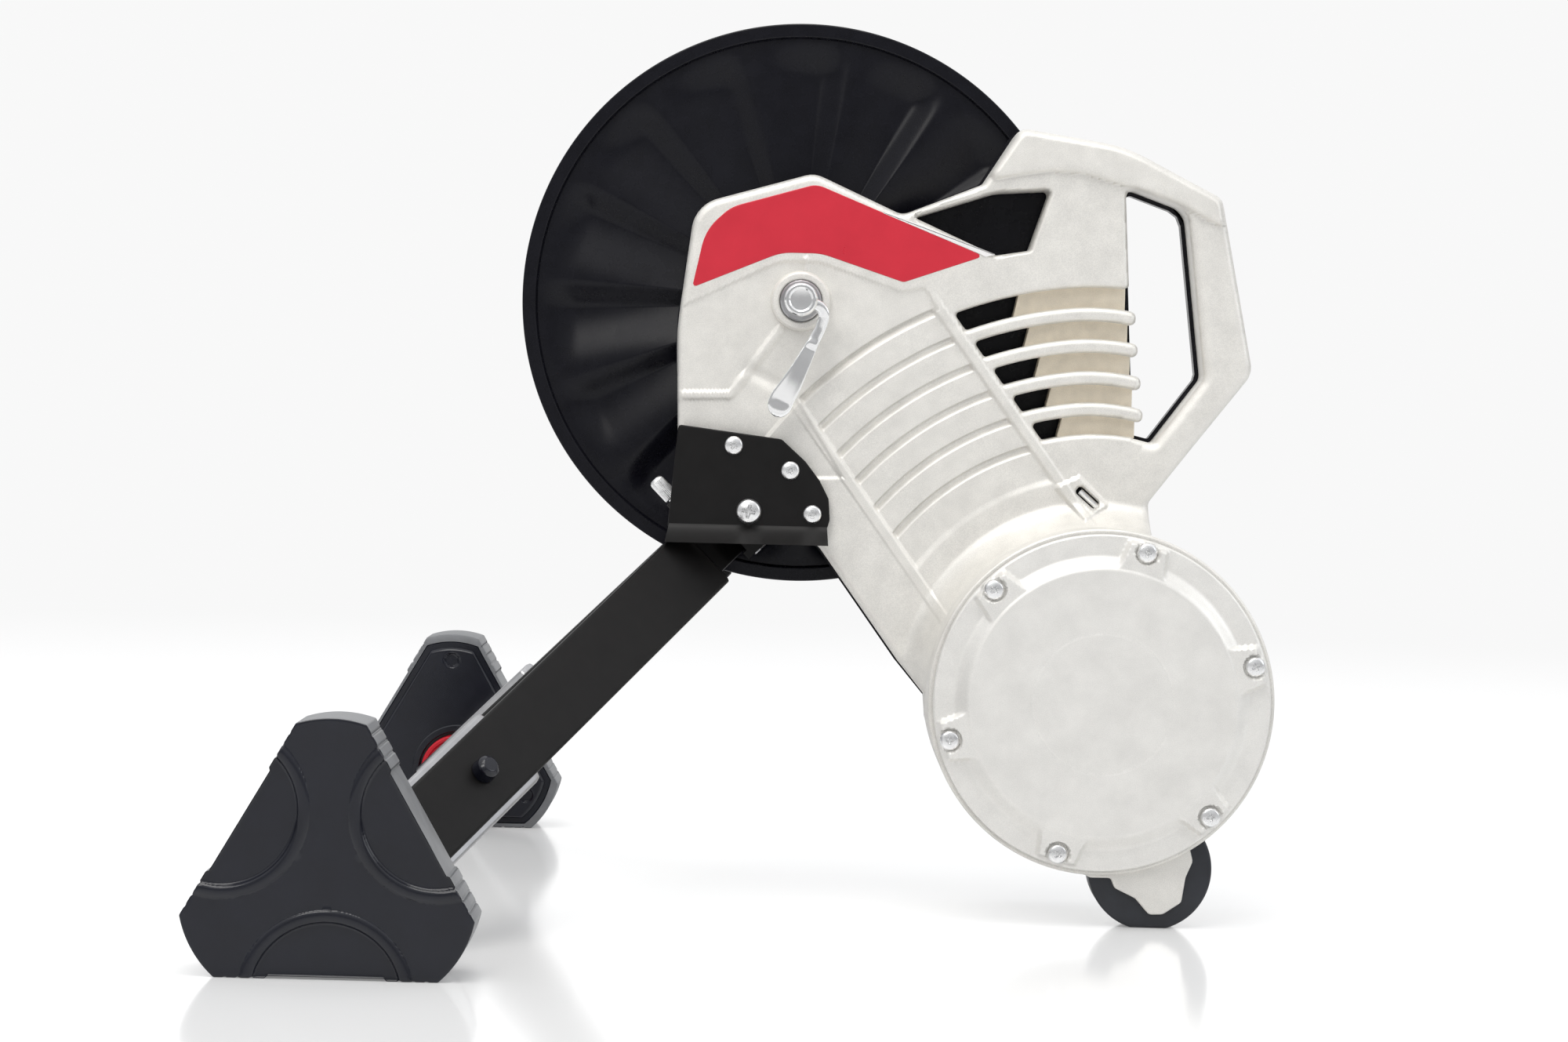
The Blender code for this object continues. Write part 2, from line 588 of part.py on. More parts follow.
def make_casting():
    casting = prism("main_casting", [rounded(BODY_CORNERS)], FACE_Y, BACK_Y)
    add_outer_forms(casting)
    hollow_casting(casting)
    half = GROOVE_WIDTH / 2.0
    field = neck_cell(GROOVE_RADII[0] + half, NECK_FIELD_END, LEFT_RAIL + 3.0, RIGHT_RAIL - 3.0, 6)
    cut(casting, casting_form("neck_field_form", field, FACE_Y - 2.0, FACE_Y + NECK_FIELD_DEPTH))
    for radius in GROOVE_RADII:
        groove = neck_cell(radius + half - 0.4, radius - half, LEFT_RAIL + 4.0, RIGHT_RAIL - 4.0, 3)
        cut(casting, casting_form("neck_groove_form", groove, FACE_Y - 2.0, FACE_Y + RECESS))
    for (outer, inner), slot_end in zip(fin_gaps(), SLOT_END):
        within = (outer - 0.5, inner + 0.5)
        gap = fin_cell(outer, inner, FIN_WALL_X, FIN_LEFT, 3)
        slot = fin_cell(*within, slot_end, FIN_LEFT + 0.5, 3)
        cut(casting, casting_form("fin_gap_form", gap, FACE_Y - 2.0, FIN_FLOOR_Y),
            casting_form("fin_slot_form", slot, FACE_Y - 4.0, -10.0),
            casting_form("fin_end_form", fin_end_cell(*within), FACE_Y - 4.0, -10.0))
    for x, z in BRACKET_SCREWS:
        cut(casting, casting_round("bracket_screw_hole_form", x, z, 2.8, -70.0, -48.0, 8))
    cut(casting, casting_round("main_bolt_hole_form", *MAIN_BOLT, MAIN_BOLT_R + GAP, -70.0, -40.0, 12))
    for x, z in cover_screw_places():
        fuse(casting, casting_round("cover_lug_form", x, z, LUG_R, HOUSING_FRONT_Y + 0.3, -96.0, 10))
        cut(casting, casting_round("cover_screw_hole_form", x, z, 2.8, -125.0, -104.0, 8))
    cut(casting, casting_form("tension_slot_form", [tension_spot(-8.3, -2.8), tension_spot(8.6, -2.8),
                                                   tension_spot(8.6, 2.8), tension_spot(-8.3, 2.8)],
                              FACE_Y - 6.0, FACE_Y + 4.5),
        rod("tension_hole_form", tension_point(6.0), tension_point(17.0), TENSION_R + GAP, 10, "cast",
            CUTTERS))
    return casting


def fin_end_cell(outer, inner, steps=2):
    """Area between two arcs beyond the recessed wall, where only the fins' ends stand out."""
    def bearing(radius, x):
        return math.degrees(math.acos((x - ARC_X) / radius))
    far = FIN_RIGHT + 8.0
    near = FIN_WALL_X - 1.0
    top = arc(ARC_X, ARC_Z, outer, bearing(outer, near), bearing(outer, far), steps)
    low = arc(ARC_X, ARC_Z, inner, bearing(inner, far), bearing(inner, near), steps)
    return top + low


TENSION_X, TENSION_Z = 181.9, -118.1     # belt tension screw, in a slot beside the fins
TENSION_HEADING = Vector((0.756, -0.655)).normalized()
TENSION_R = 2.0


def tension_spot(along, aside):
    """A place in the side view, measured along the tension screw and across it."""
    across = Vector((-TENSION_HEADING.y, TENSION_HEADING.x))
    spot = Vector((TENSION_X, TENSION_Z)) + TENSION_HEADING * along + across * aside
    return (spot.x, spot.y)


def tension_point(along):
    x, z = tension_spot(along, 0.0)
    return place(x, FACE_Y + 1.0, z)


PRONG_CORNERS = [
    (172.5, -342.9, 3), (186.0, -349.5, 4), (198.5, -349.4, 2), (201.0, -355.5, 3), (213.8, -361.5, 3),
    (222.4, -371.3, 4), (231.0, -371.0, 4), (242.2, -363.4, 3), (244.5, -347.8, 4), (248.6, -338.0, 4),
    (246.5, -330.0, 2), (258.0, -319.5, 3)]


def cover_screw_places():
    return [polar(COVER_SCREW_R, COVER_SCREW_START + 360.0 / COVER_SCREWS * k, RESIST_X, RESIST_Z)
            for k in range(COVER_SCREWS)]


def guard_post_places():
    return [polar(GUARD_POST_R, 30.0 + 72.0 * k) for k in range(5)]


def make_rear_cover():
    """Plastic shell over the open back of the casting, with posts that carry the round guard."""
    def form(name, outline, near, far):
        return prism(name, [outline], near, far, "black", CUTTERS)

    def bar(name, x, z, radius, near, far, sides=24):
        return along_y(name, x, z, radius, near, far, sides, "black", CUTTERS)

    opening = moved(OPENING_CORNERS, 2.5)
    inside = COVER_BACK_Y - COVER_WALL
    cover = prism("rear_cover", [rounded(moved(BODY_CORNERS, -1.6))], BACK_Y + GAP, COVER_BACK_Y, "black")
    fuse(cover, bar("cover_round_form", RESIST_X, RESIST_Z, HOUSING_R, BACK_Y + GAP, COVER_BACK_Y, 36))
    room = form("cover_room_form", rounded(moved(BODY_CORNERS, 2.5), 45.0), BACK_Y - 5.0, inside)
    fuse(room, bar("cover_room_round_form", RESIST_X, RESIST_Z, HOUSING_R - 4.0, BACK_Y - 5.0, inside))
    cut(room, form("cover_opening_wall_form", rounded(moved(OPENING_CORNERS, -0.5), 45.0), -40.0, -5.0),
        bar("cover_hub_wall_form", 0, 0, HUB_R + 6.0, -40.0, -5.0),
        bar("cover_carrier_wall_form", RESIST_X, RESIST_Z, 40.0, -40.0, -5.0))
    cut(cover, room, form("cover_opening_form", rounded(opening), -40.0, -5.0),
        bar("cover_hub_hole_form", 0, 0, HUB_R + 3.0, -40.0, -5.0),
        bar("cover_carrier_hole_form", RESIST_X, RESIST_Z, CARRIER_R + GAP, -40.0, -5.0))
    for x, z in guard_post_places():
        fuse(cover, bar("guard_post_form", x, z, 6.0, inside - 1.0, GUARD_NEAR_Y - GAP, 8))
    return cover


def flute(angle):
    """Sawtooth across one flute, 0 at its edges and 1 at its crease, which lies off the middle."""
    phase = (angle * FLUTES / 360.0) % 1.0
    return phase / CREASE if phase < CREASE else (1.0 - phase) / (1.0 - CREASE)


GUARD_RADII = (GUARD_BORE_R, 58.0, 74.0, 110.0, GUARD_RIM_R)


def guard_height(radius, angle):
    """Near face of the guard: a flat middle, flutes that run out towards the rim, and a low dish."""
    reach = min(max((radius - 58.0) / 16.0, 0.0), 1.0) * min(max((GUARD_RIM_R - radius) / 70.0, 0.0), 1.0)
    dish = 4.5 * min(max((radius - 58.0) / (GUARD_RIM_R - 58.0), 0.0), 1.0)
    return GUARD_NEAR_Y + dish + FLUTE_DEPTH * reach * flute(angle)


def make_guard():
    """Fluted dish: one open sheet drawn on a polar grid, thickened by Solidify."""
    angles = [(k + share) * 360.0 / FLUTES for k in range(FLUTES) for share in (0.0, CREASE, 0.65)]
    around = len(angles)
    verts, faces = [], []
    rings = [(r, None) for r in GUARD_RADII] + [(GUARD_RIM_R + 1.0, GUARD_NEAR_Y + 1.0),
                                                (GUARD_R, GUARD_NEAR_Y + 1.0), (GUARD_R, GUARD_FAR_Y)]
    for radius, fixed in rings:
        for angle in angles:
            x, z = polar(radius, angle + FLUTE_START)
            y = guard_height(radius, angle) if fixed is None else fixed
            verts.append(place(x, y, z))
    for ring in range(len(rings) - 1):
        for k in range(around):
            a, b = ring * around + k, ring * around + (k + 1) % around
            faces.append((a, b, b + around, a + around))
    mesh = bpy.data.meshes.new("chain_guard_disc")
    mesh.from_pydata(verts, [], faces)
    guard = adopt(mesh_object("chain_guard_disc", mesh), "black")
    solidify = guard.modifiers.new("Wall", 'SOLIDIFY')
    solidify.thickness = GUARD_WALL * MM
    solidify.offset = 1.0
    notch = [hinge_point(22.8, -23.5), hinge_point(22.8, UPPER_FLANGE_END + 1.5),
             hinge_point(-15.0, UPPER_FLANGE_END + 1.5), hinge_point(-22.8, LOWER_FLANGE_END + 1.5),
             hinge_point(-22.8, -23.5)]
    cut(guard, prism("guard_notch_form", [notch], -30.0, 30.0, "black", CUTTERS))
    return guard


def make_panel():
    prism("side_panel", [rounded(PANEL_CORNERS)], FACE_Y - 0.3, FACE_Y + 0.9, "red")


def make_resistance_cover():
    """Round lid: outer ring, a bevel up to a plateau, and six screw seats let into its edge."""
    seat = HOUSING_FRONT_Y - 1.6
    cover = turned("resistance_cover", [
        (0.0, COVER_FRONT_Y), (COVER_R - 23.0, COVER_FRONT_Y), (COVER_R - 13.5, COVER_FRONT_Y + 5.5),
        (COVER_R, COVER_FRONT_Y + 6.5), (COVER_R, seat), (SPIGOT_R, seat), (SPIGOT_R, seat + 4.0),
        (SPIGOT_R - 4.0, seat + 4.0), (SPIGOT_R - 4.0, seat - 6.0), (0.0, seat - 6.0)],
        RESIST_X, RESIST_Z, 32, "cast")
    for index, (x, z) in enumerate(cover_screw_places()):
        angle = COVER_SCREW_START + 360.0 / COVER_SCREWS * index
        outline = []
        for u, v in ((COVER_R - 23.0, -15.0), (COVER_R - 4.0, -12.0), (COVER_R - 4.0, 12.0),
                     (COVER_R - 23.0, 15.0)):
            turn = math.radians(angle)
            outline.append((RESIST_X + u * math.cos(turn) - v * math.sin(turn),
                            RESIST_Z + u * math.sin(turn) + v * math.cos(turn)))
        tab = prism("cover_tab_form", [outline], COVER_FRONT_Y + 0.6, COVER_FRONT_Y + 9.0, "cast", CUTTERS)
        fuse(cover, tab)
        cut(cover, along_y("cover_counterbore_form", x, z, 7.2, COVER_FRONT_Y - 5.0, COVER_FRONT_Y + 4.2, 10,
                           "cast", CUTTERS),
            along_y("cover_hole_form", x, z, 2.8, COVER_FRONT_Y - 5.0, HOUSING_FRONT_Y + 5.0, 8, "cast",
                    CUTTERS))
    gasket = turned("cover_gasket", ring_profile(CHAMBER_R - 3.4, COVER_R - 1.0, seat + GAP,
                                                 HOUSING_FRONT_Y - GAP), RESIST_X, RESIST_Z, 28, "rubber",
                    closed=True)
    for x, z in cover_screw_places():
        cut(gasket, along_y("gasket_hole_form", x, z, 3.0, -130.0, -110.0, 6, "rubber", CUTTERS))
    for index, (x, z) in enumerate(cover_screw_places()):
        screw("cover_screw_%d" % (index + 1), x, z, 6.0, COVER_FRONT_Y + 0.9, COVER_FRONT_Y + 3.9, 2.4,
              HOUSING_FRONT_Y + 13.0)


def make_rear_foot():
    foot = turned("rear_foot", [
        (0.0, REAR_FOOT_Y[0]), (REAR_FOOT_R - 2.0, REAR_FOOT_Y[0]), (REAR_FOOT_R, REAR_FOOT_Y[0] + 2.0),
        (REAR_FOOT_R, REAR_FOOT_Y[1] - 2.0), (REAR_FOOT_R - 2.0, REAR_FOOT_Y[1]), (0.0, REAR_FOOT_Y[1])],
        REAR_FOOT_X, REAR_FOOT_Z, 40, "rubber")
    below = -AXLE_HEIGHT - 30.0
    floor = prism("foot_floor_form", [[(150.0, below), (300.0, below), (300.0, -AXLE_HEIGHT),
                                       (150.0, -AXLE_HEIGHT)]], -150.0, -50.0, "rubber", CUTTERS)
    housing_room = along_y("foot_housing_form", RESIST_X, RESIST_Z, HOUSING_R + GAP + 0.1, -125.0, -60.0, 96,
                           "rubber", CUTTERS)
    prong = rounded(moved(PRONG_CORNERS + [(250.0, -290.0, 1), (170.0, -290.0, 1)], -GAP))
    prong_room = prism("foot_prong_room_form", [prong], -125.0, REAR_FOOT_Y[0] + 3.0 + GAP, "rubber", CUTTERS)
    cut(foot, floor, housing_room, prong_room)


def make_axle():
    end = HUB_WIDTH / 2.0
    turned("axle_tube", [
        (AXLE_BORE_R, 0.7 - end), (AXLE_SEAT_R, 0.7 - end), (AXLE_SEAT_R + 0.3, -end),
        (AXLE_END_R - 1.0, -end), (AXLE_END_R, 1.0 - end), (AXLE_END_R, AXLE_SHOULDER_Y),
        (AXLE_R, AXLE_SHOULDER_Y), (AXLE_R, 58.2), (AXLE_BORE_R, 58.2)], steps=20, closed=True)
    turned("axle_cap", [
        (AXLE_BORE_R, 58.5), (AXLE_END_R, 58.5), (AXLE_END_R, end - 1.0), (AXLE_END_R - 1.0, end),
        (AXLE_SEAT_R + 0.3, end), (AXLE_SEAT_R, end - 0.7), (AXLE_BORE_R, end - 0.7)], steps=20,
        finish="alloy", closed=True)
    for suffix, y in (("near", HUB_NEAR_Y + 0.5), ("far", 1.0)):
        turned("hub_bearing_" + suffix, ring_profile(AXLE_R + GAP, BEARING_R - GAP, y, y + BEARING_WIDTH),
               steps=16, closed=True)


def make_hub():
    """Rotating hub: it carries the large pulley at one end and drives the freehub at the other."""
    y_seat = HUB_NEAR_Y + 0.5 + BEARING_WIDTH + 0.5
    turned("hub_shell", [
        (BEARING_R, HUB_NEAR_Y), (HUB_R, HUB_NEAR_Y), (HUB_R, HUB_FLANGE_Y), (HUB_FLANGE_R, HUB_FLANGE_Y),
        (HUB_FLANGE_R, HUB_FLANGE_Y + HUB_FLANGE_THICK), (HUB_R, HUB_FLANGE_Y + HUB_FLANGE_THICK),
        (HUB_R, HUB_FAR_Y), (BEARING_R, HUB_FAR_Y), (BEARING_R, 0.5), (13.0, 0.5), (13.0, y_seat),
        (BEARING_R, y_seat)], steps=20, finish="alloy", closed=True)
    rim_near, rim_far = BELT_Y - BELT_WIDTH / 2.0 - PULLEY_FLANGE, BELT_Y + BELT_WIDTH / 2.0 + PULLEY_FLANGE
    web_far = HUB_FLANGE_Y - GAP
    web_near = web_far - 4.0
    turned("drive_pulley", [
        (HUB_R + GAP, web_near), (DRIVE_R - 6.0, web_near), (DRIVE_R - 5.0, rim_near),
        (DRIVE_R + 2.6, rim_near), (DRIVE_R, rim_near + PULLEY_FLANGE), (DRIVE_R, rim_far - PULLEY_FLANGE),
        (DRIVE_R + 2.6, rim_far), (DRIVE_R - 5.0, rim_far), (DRIVE_R - 6.0, web_far),
        (HUB_R + GAP, web_far)], steps=24, finish="alloy", closed=True)


def make_freehub():
    body = turned("freehub_body", [
        (13.0, 13.0), (15.0, 13.0), (15.0, HUB_FAR_Y + 0.6), (17.0, HUB_FAR_Y + 0.6), (17.0, 57.5),
        (14.8, 57.5), (14.8, 48.0), (13.0, 48.0)], steps=27, finish="steel", closed=True)
    for k in range(9):
        cut(body, block("spline_form", (15.4, -1.6, -57.9), (18.0, 1.6, -24.5),
                        side_view(0.0) @ Matrix.Rotation(math.radians(40.0 * k), 4, 'Z'), "steel", CUTTERS))
    turned("freehub_bearing", ring_profile(AXLE_R + GAP, 14.5, 48.7, 57.2), steps=16, closed=True)


def make_belt():
    outer, inner = belt_loop(0.4 + BELT_THICK), belt_loop(0.4)
    prism("drive_belt", [outer, inner], BELT_Y - BELT_WIDTH / 2.0 + 0.5, BELT_Y + BELT_WIDTH / 2.0 - 0.5,
          "rubber")


CARRIER_Y = (-24.7, -13.0)
CARRIER_R = 35.0


def make_resistance_train():
    """Small pulley, shaft, bearings and seal, with the impeller at one end and the flywheel at the other."""
    cx, cz = RESIST_X, RESIST_Z
    pulley_near = BELT_Y - BELT_WIDTH / 2.0 - PULLEY_FLANGE
    pulley_far = BELT_Y + BELT_WIDTH / 2.0 + PULLEY_FLANGE
    turned("resistance_shaft", [
        (0.0, -108.0), (SHAFT_R, -108.0), (SHAFT_R, -74.5), (SHAFT_R, FLYWHEEL_Y[1] + 12.0),
        (0.0, FLYWHEEL_Y[1] + 12.0)], cx, cz, 24, "steel")
    turned("driven_pulley", [
        (SHAFT_R + GAP, pulley_near), (DRIVEN_R + 2.6, pulley_near), (DRIVEN_R, pulley_near + PULLEY_FLANGE),
        (DRIVEN_R, pulley_far - PULLEY_FLANGE), (DRIVEN_R + 2.6, pulley_far), (SHAFT_R + GAP, pulley_far)],
        cx, cz, 24, "alloy", closed=True)
    back = CHAMBER_BACK_Y + SHAFT_BEARING_WIDTH + 0.7
    for suffix, near in (("near", back - SHAFT_BEARING_WIDTH), ("far", CARRIER_Y[0] + 0.8)):
        turned("shaft_bearing_" + suffix,
               ring_profile(SHAFT_R + GAP, SHAFT_BEARING_R, near, near + SHAFT_BEARING_WIDTH), cx, cz, 16,
               closed=True)
    turned("shaft_seal", [
        (SHAFT_R + GAP, CHAMBER_BACK_Y - 4.5), (14.0, CHAMBER_BACK_Y - 4.5),
        (SHAFT_BEARING_R + 4.0, CHAMBER_BACK_Y - 2.0), (SHAFT_BEARING_R + 4.0, CHAMBER_BACK_Y - GAP),
        (SHAFT_R + GAP, CHAMBER_BACK_Y - GAP)], cx, cz, 20, "rubber", closed=True)
    turned("bearing_carrier", [
        (SHAFT_BEARING_R + GAP, CARRIER_Y[0]), (CARRIER_R, CARRIER_Y[0]), (CARRIER_R, CARRIER_Y[1]),
        (SHAFT_R + 3.0, CARRIER_Y[1]), (SHAFT_R + 3.0, CARRIER_Y[1] - 0.9),
        (SHAFT_BEARING_R + GAP, CARRIER_Y[1] - 0.9)], cx, cz, 24, "alloy", closed=True)

    hub_near, hub_far = -106.0, -74.5
    impeller = turned("impeller", [
        (SHAFT_R + GAP, hub_near), (16.0, hub_near), (16.0, hub_far - 5.0), (IMPELLER_R, hub_far - 3.0),
        (IMPELLER_R, hub_far), (SHAFT_R + GAP, hub_far)], cx, cz, 24, "alloy", closed=True)
    vane = 8
    for k in range(vane):
        turn = Matrix.Rotation(math.radians(360.0 / vane * k), 4, 'Z')
        frame = Matrix.Translation(place(cx, 0.0, cz)) @ Matrix.Rotation(math.radians(90.0), 4, 'X') @ turn
        fuse(impeller, block("vane_form", (14.0, -1.5, 1.0 - hub_far),
                             (IMPELLER_R - 2.0, 1.5, -hub_near - 4.0), frame, "alloy", CUTTERS))
    near, far = FLYWHEEL_Y
    turned("flywheel", [
        (SHAFT_R + GAP, near + 3.0), (70.0, near + 3.0), (73.0, near), (FLYWHEEL_R, near),
        (FLYWHEEL_R, far), (73.0, far), (70.0, far - 5.0), (20.0, far - 5.0), (20.0, far - 2.0),
        (SHAFT_R + GAP, far - 2.0)], cx, cz, 30, "steel", closed=True)
    nut = prism("flywheel_nut", [circle(cx, cz, 10.5, 6), circle(cx, cz, SHAFT_R + GAP, 24)], far - 1.7,
                far + 8.0, "zinc")
    return nut


def make_tension_screw():
    rod("belt_tension_screw", tension_point(-6.0), tension_point(16.5), TENSION_R, 12, "zinc")


# Quick release skewer
QR_HEAD_Y = (-95.0, -74.0)
QR_AXIS_TILT = -20.0            # direction of the cam pin in the side view
QR_PIN_Y = -84.0


def make_skewer():
    end = HUB_WIDTH / 2.0
    rod_object = turned("skewer_rod", solid_profile(SKEWER_R, QR_HEAD_Y[1] - 3.0, end + 20.0), steps=16,
                        finish="zinc")
    head = turned("qr_cam_head", [
        (0.0, QR_HEAD_Y[0] + 1.2), (7.0, QR_HEAD_Y[0] + 1.2), (7.4, QR_HEAD_Y[0]), (9.3, QR_HEAD_Y[0]),
        (10.3, QR_HEAD_Y[0] + 1.2), (10.3, QR_HEAD_Y[1] - 3.0), (9.0, QR_HEAD_Y[1]), (0.0, QR_HEAD_Y[1])],
        steps=20, finish="chrome")
    cut(head, along_y("skewer_hole_form", 0, 0, SKEWER_R + GAP, QR_HEAD_Y[1] - 3.4, -60.0, 16, "chrome",
                      CUTTERS))
    tilt = math.radians(QR_AXIS_TILT)
    pin_axis = Vector((math.cos(tilt), 0.0, math.sin(tilt)))
    centre = place(0.0, QR_PIN_Y, 0.0)
    cut(head, rod("cam_bore_form", centre - pin_axis * 0.007, centre + pin_axis * 0.02, 4.6, 16, "chrome",
                  CUTTERS))
    cam = rod("quick_release_lever", centre - pin_axis * 0.0066, centre + pin_axis * 0.0135, 4.2, 16,
              "chrome")
    path = [(10.7, -2.8), (14.6, -5.5), (15.4, -10.0), (12.6, -17.0), (7.6, -27.1), (1.0, -41.0),
            (-5.0, -53.0)]
    half = [4.0, 4.2, 4.2, 3.6, 3.4, 4.9, 6.6]
    left, right = [], []
    for index, (x, z) in enumerate(path):
        before = Vector(path[max(index - 1, 0)])
        after = Vector(path[min(index + 1, len(path) - 1)])
        along = (after - before).normalized()
        normal = Vector((-along.y, along.x)) * half[index]
        left.append((x + normal.x, z + normal.y))
        right.append((x - normal.x, z - normal.y))
    tip = arc(-12.6, -65.6, 6.9, 25.0, -205.0, 10)
    lever = prism("lever_arm_form", [left + tip + right[::-1]], QR_PIN_Y - 2.2, QR_PIN_Y + 2.2, "chrome",
                  CUTTERS)
    fuse(cam, lever)
    nut = turned("skewer_nut", [
        (SKEWER_R + GAP, end + 8.0), (9.0, end + 8.0), (10.0, end + 10.0), (10.0, end + 13.0),
        (7.5, end + 19.0), (SKEWER_R + GAP, end + 19.0)], steps=18, finish="zinc", closed=True)
    for side, suffix in ((-1.0, "near"), (1.0, "far")):
        conical_spring("skewer_spring_" + suffix, side, end + 0.8, end + 8.0)
    return rod_object, nut


def conical_spring(name, side, start, stop, turns=3.0, small=4.4, large=7.6, wire=0.65):
    """One unbroken coil between an axle cap and the skewer's head or nut, wider at the head."""
    steps = int(turns * 10)
    curve = bpy.data.curves.new(name, 'CURVE')
    curve.dimensions = '3D'
    curve.bevel_depth = wire * MM
    curve.bevel_resolution = 0
    curve.use_fill_caps = True
    spline = curve.splines.new('POLY')
    spline.points.add(steps)
    for k in range(steps + 1):
        share = k / steps
        angle = 2.0 * math.pi * turns * share
        radius = small + (large - small) * share
        y = side * (start + (stop - 0.9 - start) * share)
        spot = place(radius * math.cos(angle), y, radius * math.sin(angle))
        spline.points[k].co = (*spot, 1.0)
    guide = bpy.data.objects.new("spring_path", curve)
    bpy.context.scene.collection.objects.link(guide)
    bpy.context.view_layer.update()
    mesh = bpy.data.meshes.new_from_object(guide.evaluated_get(bpy.context.evaluated_depsgraph_get()))
    bpy.data.objects.remove(guide)
    weld(mesh)
    return adopt(mesh_object(name, mesh), "zinc")


def make_bracket():
    """Black sheet cover with a flared skirt, and the steel channel behind it that holds both hinges."""
    plate = prism("bracket_plate", [BRACKET_OUTLINE], BRACKET_Y, BRACKET_Y + SHEET, "paint")
    low = -79.5
    high = 19.5
    work = bmesh.new()
    mesh = bpy.data.meshes.new("skirt_form")
    rows = ((-141.0, 0.0, 0.5), (SKIRT_LOW_Z, -SKIRT_FLARE, 0.0))
    corners = []
    for z, out, within in rows:
        spread = 1.5 if out else -1.0
        for x in (low - spread, high + spread * 0.5):
            for depth in (within, SHEET - within):
                corners.append(work.verts.new(place(x, BRACKET_Y + out + depth, z)))
    bmesh.ops.convex_hull(work, input=corners)
    work.to_mesh(mesh)
    work.free()
    skirt = adopt(mesh_object("skirt_form", mesh), "paint", CUTTERS)
    lip = prism("bracket_lip_form", [[(-73.4, -83.0), (-70.4, -83.3), (-75.4, -140.0), (-78.4, -140.0)]],
                BRACKET_Y + 0.5, BRACKET_Y + 13.0, "paint", CUTTERS)
    fuse(plate, skirt, lip)
    for x, z in BRACKET_SCREWS:
        cut(plate, along_y("plate_hole_form", x, z, 2.8, -80.0, -50.0, 12, "paint", CUTTERS))
    cut(plate, along_y("plate_bolt_hole_form", *MAIN_BOLT, MAIN_BOLT_R + GAP, -80.0, -50.0, 16, "paint",
                       CUTTERS))

    near, far = CHANNEL_Y
    inner = KNUCKLE_WIDTH / 2.0 + 1.0
    outer = inner + CHANNEL_FLANGE
    section = [(-outer, WEB_BACK), (outer, WEB_BACK), (outer, UPPER_FLANGE_END), (inner, UPPER_FLANGE_END),
               (inner, WEB_FRONT), (-inner, WEB_FRONT), (-inner, LOWER_FLANGE_END),
               (-outer, LOWER_FLANGE_END)]
    channel = prism("leg_channel", [[hinge_point(*corner) for corner in section]], near, far, "paint")
    end_plate = prism("channel_end_form", [[hinge_point(-outer, WEB_BACK), hinge_point(outer, WEB_BACK),
                                            hinge_point(outer, 6.0), hinge_point(-outer, 6.0)]], near,
                      near + SHEET, "paint", CUTTERS)
    weld_nut = prism("weld_nut_form", [circle(*MAIN_BOLT, 7.0, 6)], near + 1.0, near + SHEET + 5.0, "paint",
                     CUTTERS)
    fuse(channel, end_plate, weld_nut)
    for side in (-1.0, 1.0):
        spot = place(*_with_y(hinge_point(0.0, CLAMP_DOWN), side * CLAMP_Y))
        across = direction(LEG_ACROSS)
        boss = rod("clamp_boss_form", spot + across * (inner + 1.0) * MM, spot + across * 39.0 * MM, 7.0, 12,
                   "paint", CUTTERS, tip=5.8)
        fuse(channel, boss)
        cut(channel, rod("clamp_bore_form", spot + across * 8.0 * MM, spot + across * 60.0 * MM, 3.4, 10,
                         "paint", CUTTERS))
        pin = place(*_with_y(tuple(HINGE), side * LEG_HINGE_Y))
        cut(channel, rod("pin_bore_form", pin - across * 40.0 * MM, pin + across * 40.0 * MM, PIN_R + GAP, 12,
                         "paint", CUTTERS))
        name = "leg_clamp_knob_" + ("near" if side < 0 else "far")
        knob = rod(name, spot + across * (KNUCKLE_WIDTH / 2.0 + CLAMP_BACKED_OFF) * MM,
                   spot + across * 44.0 * MM, 3.0, 12, "zinc")
        fuse(knob, rod("knob_head_form", spot + across * 40.0 * MM, spot + across * 56.0 * MM, 4.9, 20,
                       "zinc", CUTTERS))
    cut(channel, along_y("channel_bolt_form", *MAIN_BOLT, MAIN_BOLT_R + GAP, -80.0, -45.0, 16, "paint",
                         CUTTERS))
    for index, (x, z) in enumerate(BRACKET_SCREWS):
        screw("bracket_screw_%d" % (index + 1), x, z, 5.8, BRACKET_Y - 3.2, BRACKET_Y - GAP, 2.5, -55.0, 12)
    screw("bracket_main_bolt", *MAIN_BOLT, 8.0, BRACKET_Y - 5.5, BRACKET_Y - GAP, MAIN_BOLT_R,
          near + SHEET + 6.5, 14)


def _with_y(point, y):
    return (point[0], y, point[1])


def direction(side_view_vector):
    return Vector((side_view_vector[0], 0.0, side_view_vector[1]))


def leg_frame(side):
    """Frame at a leg's hinge: X down the leg, Y across its width, Z out of its upper face."""
    run = direction(LEG_DOWN) * math.cos(SPLAY) + Vector((0.0, side * math.sin(SPLAY), 0.0))
    across = direction(LEG_ACROSS)
    face = direction(LEG_DOWN) * -math.sin(SPLAY) + Vector((0.0, side * math.cos(SPLAY), 0.0))
    if run.cross(across).dot(face) < 0.0:
        across = -across
    matrix = Matrix((run, across, face)).transposed().to_4x4()
    matrix.translation = place(*_with_y(tuple(HINGE), side * LEG_HINGE_Y))
    return matrix


def slab(name, side, near, far):
    """Wide block between two distances from the mid-plane, used to mitre the legs."""
    y0, y1 = sorted((side * near, side * far))
    return prism(name, [[(-420.0, -500.0), (60.0, -500.0), (60.0, 0.0), (-420.0, 0.0)]], y0, y1, "paint",
                 CUTTERS)


